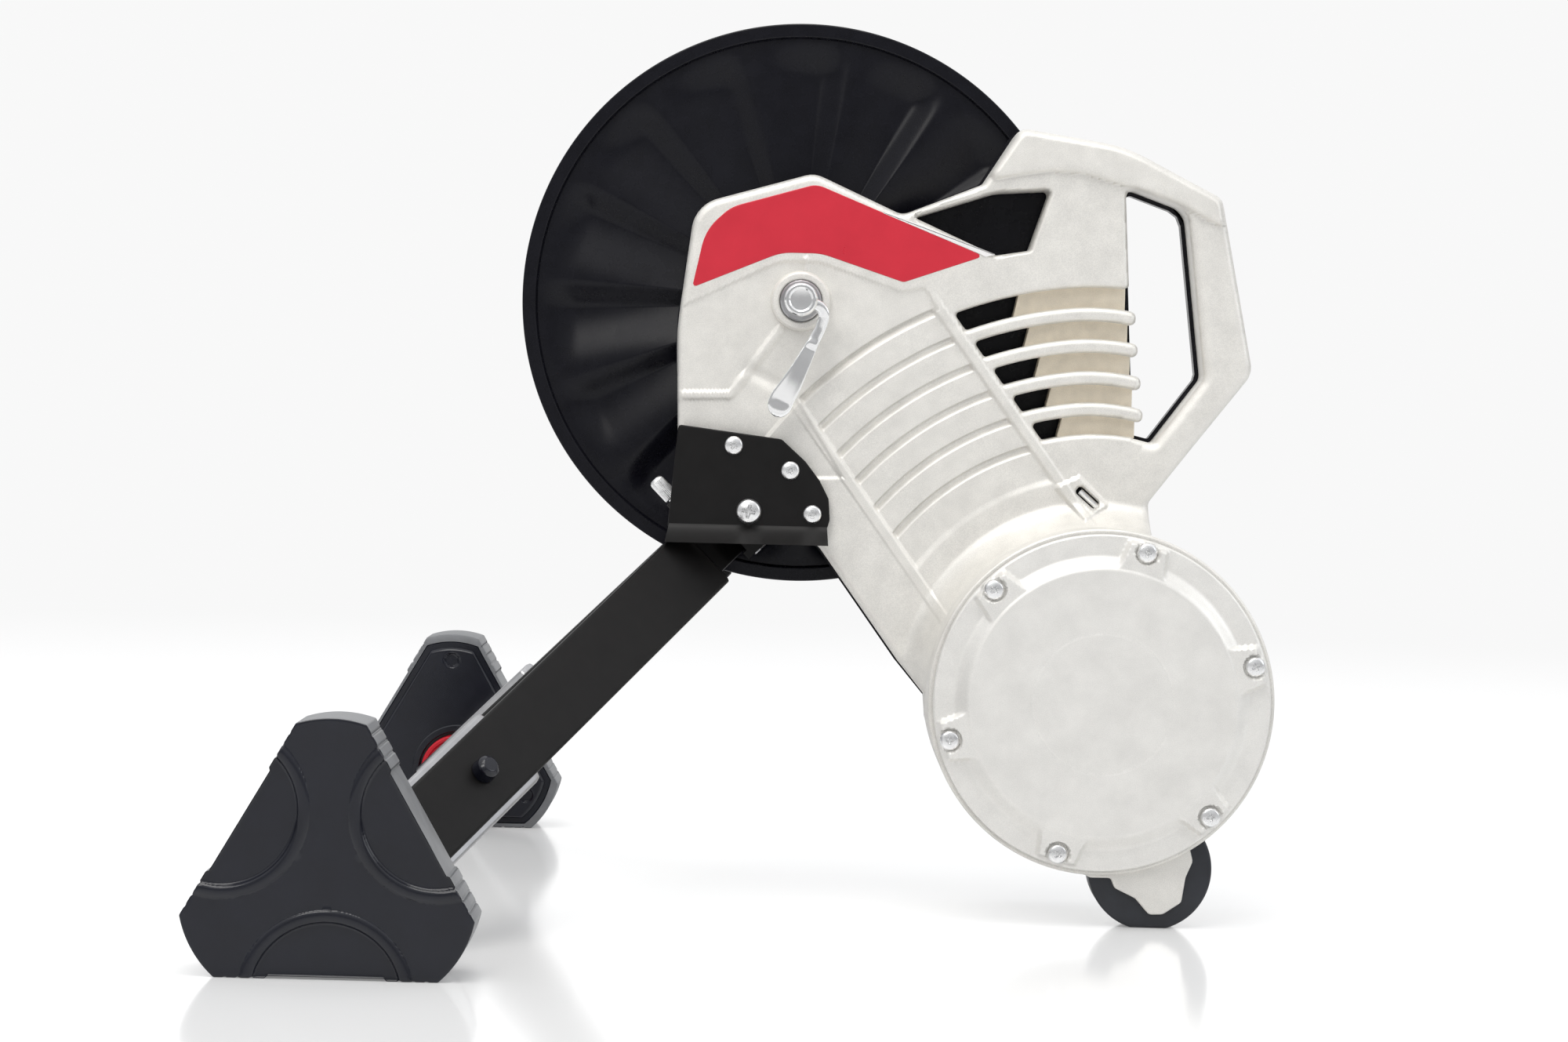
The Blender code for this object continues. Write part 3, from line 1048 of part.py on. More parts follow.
def make_leg(side, suffix):
    matrix = leg_frame(side)
    half_w, half_t = LEG_WIDTH / 2.0, LEG_THICK / 2.0
    reach = LEG_LENGTH + 30.0
    leg = block("leg_" + suffix, (KNUCKLE_LENGTH, -half_w, -half_t), (reach, half_w, half_t), matrix)
    edge = leg.modifiers.new("Rolled edges", 'BEVEL')
    edge.width = 2.2 * MM
    edge.segments = 2
    edge.limit_method = 'ANGLE'
    strap_from, strap_to = LEG_LENGTH - 172.0, reach
    for flank in (-1.0, 1.0):
        strap = block("leg_strap_form", (strap_from, half_w - 3.0, -half_t + 1.5), (strap_to, half_w + 3.8,
                                                                                   half_t - 1.5),
                      matrix @ Matrix.Diagonal((1.0, flank, 1.0, 1.0)), "paint", CUTTERS)
        if flank < 0.0:
            strap.data.flip_normals()
        for vert in strap.data.vertices:
            if vert.co.x < (strap_from + 1.0) * MM and vert.co.y > half_w * MM:
                vert.co.y = (half_w - 0.5) * MM
        fuse(leg, strap)
    cut(leg, slab("leg_mitre_form", side, LEG_END_Y - GAP, 460.0))
    cut(leg, block("leg_room_form", (KNUCKLE_LENGTH + 35.0, -half_w + LEG_WALL, -half_t + LEG_WALL),
                   (reach + 20.0, half_w - LEG_WALL, half_t - LEG_WALL), matrix, "paint", CUTTERS))

    half_k = KNUCKLE_WIDTH / 2.0
    fuse(leg, block("knuckle_arm_form", (0.0, -half_k, 0.7 - half_t),
                    (KNUCKLE_LENGTH + 6.0, half_k, half_t - 0.7), matrix, "paint", CUTTERS))
    knuckle_end = Vector((0.0, half_k * MM, 0.0))
    fuse(leg, rod("knuckle_form", matrix @ -knuckle_end, matrix @ knuckle_end, half_t, 20, "paint", CUTTERS))
    cut(leg, rod("knuckle_bore_form", matrix @ (knuckle_end * -2.0), matrix @ (knuckle_end * 2.0),
                 PIN_R + GAP, 12, "paint", CUTTERS))

    buffer_at = 306.0
    base = matrix @ Vector((buffer_at * MM, 0.0, (half_t + GAP) * MM))
    top = matrix @ Vector((buffer_at * MM, 0.0, (half_t + 10.0) * MM))
    buffer = rod("foot_lock_knob_" + suffix, base, top, 6.6, 16, "black", tip=5.6)
    round_top = buffer.modifiers.new("Dome", 'BEVEL')
    round_top.width = 1.8 * MM
    round_top.segments = 1
    round_top.limit_method = 'ANGLE'

    pivot_x, pivot_z = FOOT_CENTRE_X + FOOT_PIVOT[0], FOOT_CENTRE_Z + FOOT_PIVOT[1]
    profile = [(0.0, LEG_END_Y), (FOOT_HUB_R - 1.0, LEG_END_Y), (FOOT_HUB_R, LEG_END_Y + 1.0),
               (FOOT_HUB_R, 366.0), (8.0, 366.0), (8.0, 406.0), (5.0, 406.0), (5.0, 408.5), (10.5, 408.5),
               (10.5, 411.0), (0.0, 411.0)]
    if side < 0.0:
        profile = [(r, -y) for r, y in reversed(profile)]
    turned("foot_hub_" + suffix, profile, pivot_x, pivot_z, 20, "red")


def toothed_outline():
    """Outside of the foot's rubber: smooth crowns, saw teeth on both flanks and a recess between them."""
    shape = foot_outline(FOOT_INRADIUS, FOOT_CORNER_R, FOOT_CORNER_ARC)
    per = len(shape) // 3
    pitch = FOOT_FLANK / FOOT_TEETH
    outline = []
    for corner in range(3):
        crown = shape[corner * per:(corner + 1) * per]
        start, stop = Vector(crown[-1]), Vector(shape[((corner + 1) * per) % len(shape)])
        heading = (stop - start).normalized()
        inward = -(start + stop).normalized() * TOOTH_DEPTH
        outline += crown
        for tooth in range(FOOT_TEETH):
            foot_end = start + heading * pitch * (tooth + 0.8)
            outline += [tuple(foot_end), tuple(foot_end + inward + heading * 0.3)]
            if tooth < FOOT_TEETH - 1:
                outline.append(tuple(start + heading * pitch * (tooth + 1.0)))
        for tooth in reversed(range(FOOT_TEETH)):
            foot_end = stop - heading * pitch * (tooth + 0.8)
            if tooth < FOOT_TEETH - 1:
                outline.append(tuple(stop - heading * pitch * (tooth + 1.0)))
            outline += [tuple(foot_end + inward - heading * 0.3), tuple(foot_end)]
    return outline


def make_foot(side, suffix):
    """Three-sided foot on an off-centre pivot, with a band of rubber round its edge."""
    cx, cz = FOOT_CENTRE_X, FOOT_CENTRE_Z
    px, pz = cx + FOOT_PIVOT[0], cz + FOOT_PIVOT[1]
    core = foot_outline(FOOT_INRADIUS - BAND_THIN - GAP, FOOT_CORNER_R - FOOT_CAP_THICK - GAP,
                        FOOT_CORNER_ARC - FOOT_CAP_THICK - GAP, 5)
    band_room = foot_outline(FOOT_INRADIUS - BAND_THIN, FOOT_CORNER_R - FOOT_CAP_THICK,
                             FOOT_CORNER_ARC - FOOT_CAP_THICK, 5)
    inner_y, outer_y = FOOT_Y[0] + 3.0 + GAP, FOOT_Y[1]

    def layer(name, loops, near, far, finish="gloss", collection=CUTTERS):
        y0, y1 = sorted((side * near, side * far))
        return prism(name, [shifted(loop, cx, cz) for loop in loops], y0, y1, finish, collection)

    def bar(name, x, z, radius, near, far, sides=16):
        y0, y1 = sorted((side * near, side * far))
        return along_y(name, x, z, radius, y0, y1, sides, "gloss", CUTTERS)

    layer("foot_rubber_" + suffix, [toothed_outline(), band_room], inner_y, outer_y - 1.5, "rubber", PARTS)
    body = layer("foot_body_" + suffix, [core], inner_y, outer_y, "gloss", PARTS)
    for k in range(3):
        lens = circle(*polar(FOOT_INRADIUS + 10.0, 30.0 + 120.0 * k), 43.5, 20)
        cut(body, layer("foot_lens_form", [lens], outer_y - 1.6, outer_y + 5.0))
    room = layer("foot_room_form", [inset(core, 6.0)], inner_y - 5.0, outer_y - 5.0)
    cut(room, bar("foot_barrel_form", px, pz, 15.0, inner_y - 8.0, outer_y, 14))
    cut(body, room, bar("foot_bore_form", px, pz, 8.0 + GAP, inner_y - 5.0, 407.6, 20),
        bar("foot_ring_room_form", px, pz, 12.0, 407.0, 412.5, 16))

    plate = layer("foot_plate_" + suffix, [inset(core, 4.0)], FOOT_Y[0], FOOT_Y[0] + 3.0, "gloss", PARTS)
    fuse(plate, bar("foot_ring_form", px, pz, 33.0, FOOT_Y[0] - 2.5, FOOT_Y[0] + 1.0, 20))
    cut(plate, bar("foot_plate_hole_form", px, pz, FOOT_HUB_R + 2.0, 350.0, 375.0, 20))
    for x, z in foot_screw_places():
        cut(plate, bar("foot_plate_sink_form", cx + x, cz + z, 5.0, 350.0, FOOT_Y[0] + 1.2, 8))


def foot_screw_places():
    return [polar(65.0, 90.0 + 120.0 * k) for k in range(3)]


def make_hinge_pins():
    half = KNUCKLE_WIDTH / 2.0 + 1.0 + CHANNEL_FLANGE + 1.5
    across = direction(LEG_ACROSS) * half * MM
    for side, suffix in ((-1.0, "near"), (1.0, "far")):
        spot = place(*_with_y(tuple(HINGE), side * LEG_HINGE_Y))
        rod("hinge_pin_" + suffix, spot - across, spot + across, PIN_R, 12, "steel")


def hang(name, spot, pieces):
    """Parent empty on a joint's axis, for pieces drawn from another place."""
    joint = bpy.data.objects.new(name, None)
    joint.location = spot
    PARTS.objects.link(joint)
    bpy.context.view_layer.update()
    for piece in pieces:
        obj = bpy.data.objects[piece]
        obj.parent = joint
        obj.matrix_parent_inverse = joint.matrix_world.inverted()


def hang_moving_pieces():
    for side, suffix in ((-1.0, "near"), (1.0, "far")):
        hang("leg_axis_" + suffix, place(*_with_y(tuple(HINGE), side * LEG_HINGE_Y)), ["foot_hub_" + suffix])
        hang("foot_axis_" + suffix, place(FOOT_CENTRE_X + FOOT_PIVOT[0], side * LEG_END_Y,
                                          FOOT_CENTRE_Z + FOOT_PIVOT[1]),
             [piece + suffix for piece in ("foot_body_", "foot_rubber_", "foot_plate_")])
    hang("skewer_axis", place(0.0, 0.0, 0.0), ["skewer_spring_near", "skewer_spring_far"])
    hang("shaft_axis", place(RESIST_X, 0.0, RESIST_Z), ["flywheel_nut"])


def build():
    make_casting()
    make_rear_cover()
    make_guard()
    make_panel()
    make_resistance_cover()
    make_rear_foot()
    make_axle()
    make_hub()
    make_freehub()
    make_belt()
    make_resistance_train()
    make_tension_screw()
    make_skewer()
    make_bracket()
    make_hinge_pins()
    for side, suffix in ((-1.0, "near"), (1.0, "far")):
        make_leg(side, suffix)
        make_foot(side, suffix)
    for obj in PARTS.objects:
        if any(modifier.type == 'BOOLEAN' for modifier in obj.modifiers):
            even_faces(obj)
    hang_moving_pieces()


build()
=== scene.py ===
# %% [markdown]
# # A direct drive bike trainer, dressed on its CAD frame
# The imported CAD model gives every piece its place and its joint. This lesson puts finer surfaces over the
# pieces that show, gives each one its finish, and lights the trainer as a studio picture would.
# Everything is laid out in millimetres from the hub axle: x to the rear, y away from the viewer, z up.

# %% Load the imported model
import json
import math

import bmesh
import bpy
import numpy as np
from mathutils import Matrix, Vector


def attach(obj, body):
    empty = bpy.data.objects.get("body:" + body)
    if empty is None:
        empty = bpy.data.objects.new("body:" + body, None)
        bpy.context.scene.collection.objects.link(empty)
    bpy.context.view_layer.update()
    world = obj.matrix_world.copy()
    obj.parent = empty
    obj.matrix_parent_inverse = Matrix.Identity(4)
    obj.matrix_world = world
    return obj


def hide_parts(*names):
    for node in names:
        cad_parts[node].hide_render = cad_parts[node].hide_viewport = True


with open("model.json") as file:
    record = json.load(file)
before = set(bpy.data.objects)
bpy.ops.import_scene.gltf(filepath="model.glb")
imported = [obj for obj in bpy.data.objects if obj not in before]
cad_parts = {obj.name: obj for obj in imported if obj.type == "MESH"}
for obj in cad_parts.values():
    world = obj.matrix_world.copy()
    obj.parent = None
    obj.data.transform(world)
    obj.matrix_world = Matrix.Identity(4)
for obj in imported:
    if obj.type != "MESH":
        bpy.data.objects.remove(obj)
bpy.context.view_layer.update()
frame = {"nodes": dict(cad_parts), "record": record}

# %% [markdown]
# ## Places
# The axle stands 380 mm above the floor and 15.55 mm behind the middle of the trainer's box. One function
# turns a drawing made round the axle into metres in the frame of the CAD, so no piece is fitted by eye.

# %% From the drawing to the frame
MM = 0.001
AXLE = np.array([15.5494, 0.0, 380.0])


def place(points):
    """Points measured from the axle in millimetres, as points of the frame in metres."""
    return (np.asarray(points, float) + AXLE) * MM


# %% [markdown]
# ## The camera
# The lens was found from the circles in the picture: 92.5 mm on a 36 mm sensor, 2.6 m in front of the
# trainer, looking down a little and turned a little about its own axis.

# %% Camera
lens = bpy.data.cameras.new("studio_camera")
lens.lens = 92.5
lens.sensor_width = 36.0
lens.clip_end = 50.0
camera = bpy.data.objects.new("studio_camera", lens)
bpy.context.scene.collection.objects.link(camera)
camera.matrix_world = (Matrix.Translation((0.00855, -2.575, 0.3166))
                       @ Matrix.Rotation(math.radians(90.0 - 1.688), 4, "X")
                       @ Matrix.Rotation(math.radians(1.472), 4, "Z"))
bpy.context.scene.camera = camera
bpy.context.scene.view_settings.view_transform = "Standard"
print("camera at", [round(value, 4) for value in camera.location])

# %% [markdown]
# ## Light
# A bright, even room: a wide lamp hangs over the trainer's front, one stands further forward and a weak
# one fills from the right. Rays from the camera see a white room. All other rays see one that is darker
# low down, so that metal has something to mirror.


# %% World and lamps
def wire(tree, node, values=None, feeds=None):
    """Give some inputs of a node their values, and others the output that feeds them."""
    for socket, value in (values or {}).items():
        node.inputs[socket].default_value = value
    for socket, output in (feeds or {}).items():
        tree.links.new(output, node.inputs[socket])


def add_node(tree, kind, values=None, feeds=None, **settings):
    """New shader node of a kind, with its settings, values and feeds."""
    made = tree.nodes.new("ShaderNode" + kind)
    for setting, value in settings.items():
        setattr(made, setting, value)
    wire(tree, made, values, feeds)
    return made


world = bpy.data.worlds.new("white_room")
world.use_nodes = True
bpy.context.scene.world = world
room = world.node_tree
room.nodes.clear()
direction = add_node(room, "TexCoord").outputs["Generated"]
rise = add_node(room, "SeparateXYZ", feeds={"Vector": direction}).outputs["Z"]
height = add_node(room, "MapRange", {"From Min": -1.0}, {"Value": rise}).outputs["Result"]
shades = add_node(room, "ValToRGB", feeds={"Fac": height})
stops = shades.color_ramp.elements
for position, level in ((0.0, 0.22), (0.42, 0.24), (0.52, 0.30), (0.66, 0.60), (0.85, 0.95), (1.0, 1.0)):
    stop = stops[0] if position == 0.0 else stops[-1] if position == 1.0 else stops.new(position)
    stop.color = (level * 0.97, level * 0.98, level, 1.0)
room_light = add_node(room, "Background", {"Strength": 1.0}, {"Color": shades.outputs["Color"]})
room_seen = add_node(room, "Background", {"Color": (1.0, 1.0, 1.0, 1.0)})
room_mix = add_node(room, "MixShader", feeds={
    "Fac": add_node(room, "LightPath").outputs["Is Camera Ray"], 1: room_light.outputs["Background"],
    2: room_seen.outputs["Background"]})
add_node(room, "OutputWorld", feeds={"Surface": room_mix.outputs["Shader"]})


def lamp(name, spot, target, size, power, colour):
    """Square soft lamp at a spot, turned to face a target."""
    light = bpy.data.lights.new(name, "AREA")
    light.size = size
    light.energy = power
    light.color = colour
    thing = bpy.data.objects.new(name, light)
    bpy.context.scene.collection.objects.link(thing)
    thing.location = spot
    thing.rotation_euler = (Vector(target) - Vector(spot)).to_track_quat("-Z", "Y").to_euler()


lamp("top_lamp", (-0.2, -0.9, 2.2), (0.05, 0.0, 0.25), 1.4, 21.0, (1.0, 0.985, 0.95))
lamp("front_lamp", (-0.9, -2.6, 1.9), (0.05, 0.0, 0.2), 0.9, 12.0, (1.0, 0.98, 0.95))
lamp("right_lamp", (2.0, -1.0, 1.1), (0.15, 0.0, 0.2), 1.0, 6.0, (0.92, 0.96, 1.0))

# %% [markdown]
# ## Outlines
# Sheet and cast pieces are drawn as corners, each with its own radius. The corners become one even line
# of points, so a curved edge has the same fineness all the way round.


# %% Outline helpers
def rounded(corners, step=6.0, closed=True):
    """Line through (x, z, radius) corners: each corner turns on an arc tangent to both its sides. An open
    line keeps its two ends, and a closed one leaves nearly straight corners as they are."""
    spots = np.array([corner[:2] for corner in corners], float)
    straight = math.radians(89.0 if closed else 90.0)
    points = []
    for index, (here, (_, _, radius)) in enumerate(zip(spots, corners)):
        if radius <= 0.0 or (not closed and index in (0, len(corners) - 1)):
            points.append(here[None])
            continue
        back, ahead = spots[index - 1] - here, spots[(index + 1) % len(corners)] - here
        back_length, ahead_length = np.hypot(*back), np.hypot(*ahead)
        back, ahead = back / back_length, ahead / ahead_length
        half = 0.5 * math.acos(float(np.clip(back @ ahead, -1.0, 1.0)))
        if half > straight:
            points.append(here[None])
            continue
        reach = min(radius / math.tan(half), back_length * 0.49, ahead_length * 0.49)
        middle = here + (back + ahead) / np.hypot(*(back + ahead)) * reach / math.cos(half)
        first, last = here + back * reach - middle, here + ahead * reach - middle
        sweep = math.atan2(first[0] * last[1] - first[1] * last[0], float(first @ last))
        turns = np.linspace(0.0, sweep, max(2, int(abs(math.degrees(sweep)) / step) + 2))
        points.append(middle + np.stack([np.cos(turns) * first[0] - np.sin(turns) * first[1],
                                         np.sin(turns) * first[0] + np.cos(turns) * first[1]], axis=1))
    return np.concatenate(points)


def even(points, spacing, closed=True):
    """The same line with points an even distance apart, measured along it."""
    line = np.concatenate([points, points[:1]]) if closed else np.asarray(points, float)
    along = np.concatenate([[0.0], np.cumsum(np.hypot(*np.diff(line, axis=0).T))])
    marks = np.linspace(0.0, along[-1], max(8, int(round(along[-1] / spacing))) + 1)
    if closed:
        marks = marks[:-1]
    return np.stack([np.interp(marks, along, line[:, axis]) for axis in (0, 1)], axis=1)


def leftwards(points):
    """The line turned so that it runs counterclockwise."""
    x, z = points.T
    area = float(np.sum(x * np.roll(z, -1) - np.roll(x, -1) * z))
    return points if area > 0.0 else points[::-1]


def outward(points):
    """Unit normals that point out of a counterclockwise line, the mean of both neighbouring sides."""
    side = np.roll(points, -1, axis=0) - np.roll(points, 1, axis=0)
    normal = np.stack([side[:, 1], -side[:, 0]], axis=1)
    return normal / np.linalg.norm(normal, axis=1, keepdims=True)


def to_line(points, outline, closed=True):
    """Distance of each point to a line (positive inside a closed one) and the nearest place on it."""
    start = outline
    stop = np.roll(outline, -1, axis=0)
    if not closed:
        start, stop = outline[:-1], outline[1:]
    run = stop - start
    square = np.maximum((run ** 2).sum(axis=1), 1e-12)
    distances, places = [], []
    for chunk in np.array_split(points, max(1, len(points) // 4000)):
        rel = chunk[:, None, :] - start[None]
        share = np.clip((rel * run[None]).sum(axis=2) / square[None], 0.0, 1.0)
        near = start[None] + share[..., None] * run[None]
        gap = ((chunk[:, None, :] - near) ** 2).sum(axis=2)
        best = gap.argmin(axis=1)
        rows = np.arange(len(chunk))
        distance = np.sqrt(gap[rows, best])
        if closed:
            z = chunk[:, None, 1]
            crosses = (start[None, :, 1] > z) != (stop[None, :, 1] > z)
            rise = np.where(np.abs(run[:, 1]) < 1e-12, 1e-12, run[:, 1])
            at = start[None, :, 0] + (z - start[None, :, 1]) * (run[:, 0] / rise)[None]
            inside = (crosses & (at > chunk[:, None, 0])).sum(axis=1) % 2 == 1
            distance = np.where(inside, distance, -distance)
        distances.append(distance)
        places.append(near[rows, best])
    return np.concatenate(distances), np.concatenate(places)


def ease(value):
    """0 below 0, 1 above 1 and a smooth S between."""
    value = np.clip(value, 0.0, 1.0)
    return value * value * (3.0 - 2.0 * value)


def quarter_round(distance, radius):
    """How far a rounded edge has fallen away at a distance from the edge, as on a quarter circle."""
    share = np.clip(distance / np.maximum(radius, 1e-6), 0.0, 1.0)
    return radius * (1.0 - np.sqrt(np.maximum(0.0, 1.0 - (1.0 - share) ** 2)))


print("outline helpers ready")

# %% [markdown]
# ## From arrays to a mesh
# A surface is a grid of points worked out with numpy. One helper turns the grid's rows and columns into
# faces, one puts points and faces into a mesh, and one hands the piece to the body that carries it.
# Turned pieces, plates and sections carried along a line share the helpers below them.

# %% Mesh helpers
SIDES = ((-1.0, "near"), (1.0, "far"))


def grid_faces(rows, columns, closed_rows=False, closed_columns=True):
    """Faces of a grid stored row by row, each with four corners."""
    r = np.arange(rows if closed_rows else rows - 1)[:, None]
    c = np.arange(columns if closed_columns else columns - 1)[None]
    down, right = (r + 1) % rows, (c + 1) % columns
    return np.stack([r * columns + c, r * columns + right, down * columns + right, down * columns + c],
                    axis=-1).reshape(-1, 4)


def make_mesh(name, points, faces):
    """Mesh from points in metres and a list of faces; doubles are merged and faces point out."""
    mesh = bpy.data.meshes.new(name)
    mesh.from_pydata(np.asarray(points, float).tolist(), [],
                     [list(map(int, face)) for part in faces for face in np.asarray(part)])
    work = bmesh.new()
    work.from_mesh(mesh)
    bmesh.ops.remove_doubles(work, verts=work.verts, dist=2e-6)
    bmesh.ops.dissolve_degenerate(work, edges=work.edges, dist=1e-7)
    bmesh.ops.recalc_face_normals(work, faces=work.faces)
    work.to_mesh(mesh)
    work.free()
    return mesh


def piece(name, mesh, body, nodes, finish, sharp=32.0):
    """Object at the origin that rides on a body, stands for CAD nodes and has a finish."""
    thing = bpy.data.objects.new(name, mesh)
    bpy.context.scene.collection.objects.link(thing)
    if sharp is not None:
        mesh.shade_smooth()
        mesh.set_sharp_from_angle(angle=math.radians(sharp))
    mesh.materials.append(finish)
    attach(thing, body)
    if nodes:
        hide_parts(*nodes)
    print(name, len(mesh.polygons), "faces on", body)


def form(name, points_and_faces, body, nodes, finish, sharp=32.0):
    """The finished piece from its points, in millimetres from the axle, and its faces."""
    points, faces = points_and_faces
    piece(name, make_mesh(name, place(points), faces), body, nodes, finish, sharp)


def full_turn(count):
    """Angles evenly spaced round a circle."""
    return np.linspace(0.0, 2.0 * math.pi, count, endpoint=False)


def spokes(column, count):
    """One value a ring, repeated for each spoke."""
    return np.repeat(np.asarray(column, float)[:, None], count, axis=1)


def revolve(r, y, cx=0.0, cz=0.0, closed=False):
    """Rings round a line along y through (cx, cz): r is how far out and y how deep, ring by spoke."""
    turn = full_turn(r.shape[1])
    points = np.stack([cx + r * np.cos(turn), np.broadcast_to(y, r.shape), cz + r * np.sin(turn)], axis=-1)
    return points.reshape(-1, 3), [grid_faces(*r.shape, closed)]


def capped(rings):
    """Closed lines of equally many points, one after another, joined up and closed at both ends."""
    rows, count = rings.shape[:2]
    last = (rows - 1) * count
    return rings.reshape(-1, 3), [grid_faces(rows, count), np.arange(count)[None],
                                  np.arange(last, last + count)[None]]


def rounded_profile(corners):
    """Open line through (r, y, radius) corners, for a turned piece."""
    return rounded(corners, 12.0, closed=False)


def lathe(name, profile, body, nodes, finish, cx=0.0, cz=0.0, steps=96, closed=False):
    """A turned piece, from its profile to the finished object."""
    r, y = profile.T
    form(name, revolve(spokes(r, steps), y[:, None], cx, cz, closed), body, nodes, finish)


def slab(name, outline, near, far, body, nodes, finish, edge=1.0, spacing=2.0):
    """A plate with rounded edges: rings of its outline, moved in and back along a quarter circle at each
    face, and one flat face that closes each side."""
    line = leftwards(even(outline, spacing))
    normal = outward(line)
    flat = edge + 0.35
    turn = np.linspace(0.0, 0.5 * math.pi, 5)
    moves = [(flat, near)]
    moves += [(edge * (1.0 - math.sin(t)), near + edge * (1.0 - math.cos(t))) for t in turn]
    moves += [(edge * (1.0 - math.cos(t)), far - edge * (1.0 - math.sin(t))) for t in turn]
    moves += [(flat, far)]
    rings = np.stack([np.insert(line - normal * inside, 1, y, axis=1) for inside, y in moves])
    form(name, capped(rings), body, nodes, finish)


print("mesh helpers ready")

# %% [markdown]
# ## Finishes
# Each finish is one shader with noise for its grain, its cloudy changes of colour and its changes of
# gloss. All patterns are read from Object coordinates, which are metres here because every piece sits at
# the origin.


# %% Finish helper
def finish(name, colour, roughness, metallic=0.0, cloud=0.06, cloud_size=12.0, grain=0.25, grain_size=0.5,
           gloss_change=0.06, specular=0.5, bump=0.02, speck=None):
    """Shader with cloudy colour, uneven gloss and a fine bumpy grain. Sizes are in millimetres."""
    made = bpy.data.materials.new(name)
    made.use_nodes = True
    made.diffuse_color = (*colour, 1.0)
    tree = made.node_tree
    spot = add_node(tree, "TexCoord").outputs["Object"]
    clouds = add_node(tree, "TexNoise", {"Scale": 1000.0 / cloud_size, "Detail": 5.0, "Roughness": 0.6},
                      {"Vector": spot}).outputs["Fac"]
    grains = add_node(tree, "TexNoise", {"Scale": 1000.0 / grain_size, "Detail": 2.0},
                      {"Vector": spot}).outputs["Fac"]
    tint = add_node(tree, "ValToRGB", feeds={"Fac": clouds})
    for stop, position, change in zip(tint.color_ramp.elements, (0.3, 0.7), (-cloud, cloud)):
        stop.position = position
        stop.color = (*(min(1.0, max(0.0, value * (1.0 + change))) for value in colour), 1.0)
    base = tint.outputs["Color"]
    if speck:
        fade = add_node(tree, "MapRange", {"From Min": 0.35, "From Max": 0.65, "To Min": 1.0 - speck,
                                           "To Max": 1.0}, {"Value": grains})
        base = add_node(tree, "Mix", {"Factor": 1.0}, {6: base, 7: fade.outputs["Result"]},
                        data_type="RGBA", blend_type="MULTIPLY").outputs[2]
    gloss = add_node(tree, "MapRange", {"To Min": max(0.02, roughness - gloss_change),
                                        "To Max": min(1.0, roughness + gloss_change)}, {"Value": clouds})
    relief = add_node(tree, "Bump", {"Strength": grain, "Distance": bump * MM}, {"Height": grains})
    wire(tree, tree.nodes["Principled BSDF"], {"Metallic": metallic, "Specular IOR Level": specular},
         {"Base Color": base, "Roughness": gloss.outputs["Result"], "Normal": relief.outputs["Normal"]})
    return made


CAST = finish("cast_aluminium", (0.86, 0.84, 0.795), 0.46, 0.40, cloud=0.06, cloud_size=14.0, grain=0.6,
              grain_size=0.55, gloss_change=0.05, bump=0.04, speck=0.13)
LID = finish("lid_aluminium", (0.87, 0.855, 0.82), 0.42, 0.40, cloud=0.05, cloud_size=18.0, grain=0.5,
             grain_size=0.55, gloss_change=0.05, bump=0.03, speck=0.09)
# Painted light: the walls behind the fins get a lighter, warmer copy of the cast aluminium that stands in for
# the warm light the fins reflect onto them.
WALL_PAINTED_REFLECTION = finish("cast_inner_wall", (0.92, 0.83, 0.68), 0.40, 0.25, cloud=0.08, cloud_size=8.0, grain=0.5,
                    grain_size=0.5, bump=0.03, speck=0.10)
ALLOY = finish("turned_alloy", (0.86, 0.86, 0.86), 0.34, 0.6, cloud=0.05, grain=0.2, bump=0.01)
STEEL = finish("ground_steel", (0.45, 0.45, 0.46), 0.32, 1.0, cloud=0.08, grain=0.3, bump=0.01)
ZINC = finish("zinc_plate", (0.90, 0.90, 0.90), 0.28, 1.0, cloud=0.08, cloud_size=4.0, grain=0.2, bump=0.01)
CHROME = finish("polished_chrome", (0.93, 0.93, 0.93), 0.13, 0.85, cloud=0.02, grain=0.05, gloss_change=0.03,
                bump=0.004)
BLACK = finish("moulded_black", (0.005, 0.005, 0.008), 0.27, 0.0, cloud=0.15, grain=0.3, grain_size=0.7,
               bump=0.012, specular=0.2)
GLOSS = finish("gloss_black", (0.008, 0.009, 0.015), 0.16, 0.0, cloud=0.2, cloud_size=25.0, grain=0.06,
               grain_size=1.5, gloss_change=0.04, bump=0.006)
RUBBER = finish("black_rubber", (0.018, 0.020, 0.026), 0.40, 0.0, cloud=0.2, grain=0.4, grain_size=0.8,
                gloss_change=0.08, bump=0.02)
PAINT = finish("powder_coat", (0.006, 0.0055, 0.0055), 0.40, 0.0, cloud=0.15, grain=0.6, grain_size=1.1,
               bump=0.02, specular=0.22)
# Painted sheen: the feet's rubber band is a much lighter grey than the other rubber, standing in for the
# overhead light on its top faces.
RUBBER_PAINTED_SHEEN = finish("tread_rubber", (0.20, 0.205, 0.215), 0.45, 0.0, cloud=0.12, grain=0.4, grain_size=0.8,
               gloss_change=0.08, bump=0.02)
RED = finish("red_moulding", (0.60, 0.022, 0.042), 0.30, 0.0, cloud=0.05, cloud_size=30.0, grain=0.15,
             grain_size=0.6, bump=0.008)
RED_METAL = finish("red_paint", (0.62, 0.015, 0.03), 0.28, 0.2, cloud=0.06, grain=0.15, bump=0.008)
WHITE = finish("white_stripe", (0.85, 0.84, 0.83), 0.35, 0.0, cloud=0.02, grain=0.1, bump=0.004)
print("finishes:", len(bpy.data.materials))

# %% [markdown]
# ## Pieces that keep their CAD shape
# Bearings, belt, pulleys and the steel channel sit inside or behind other pieces. Their CAD solids are
# already right, so they only get a finish.

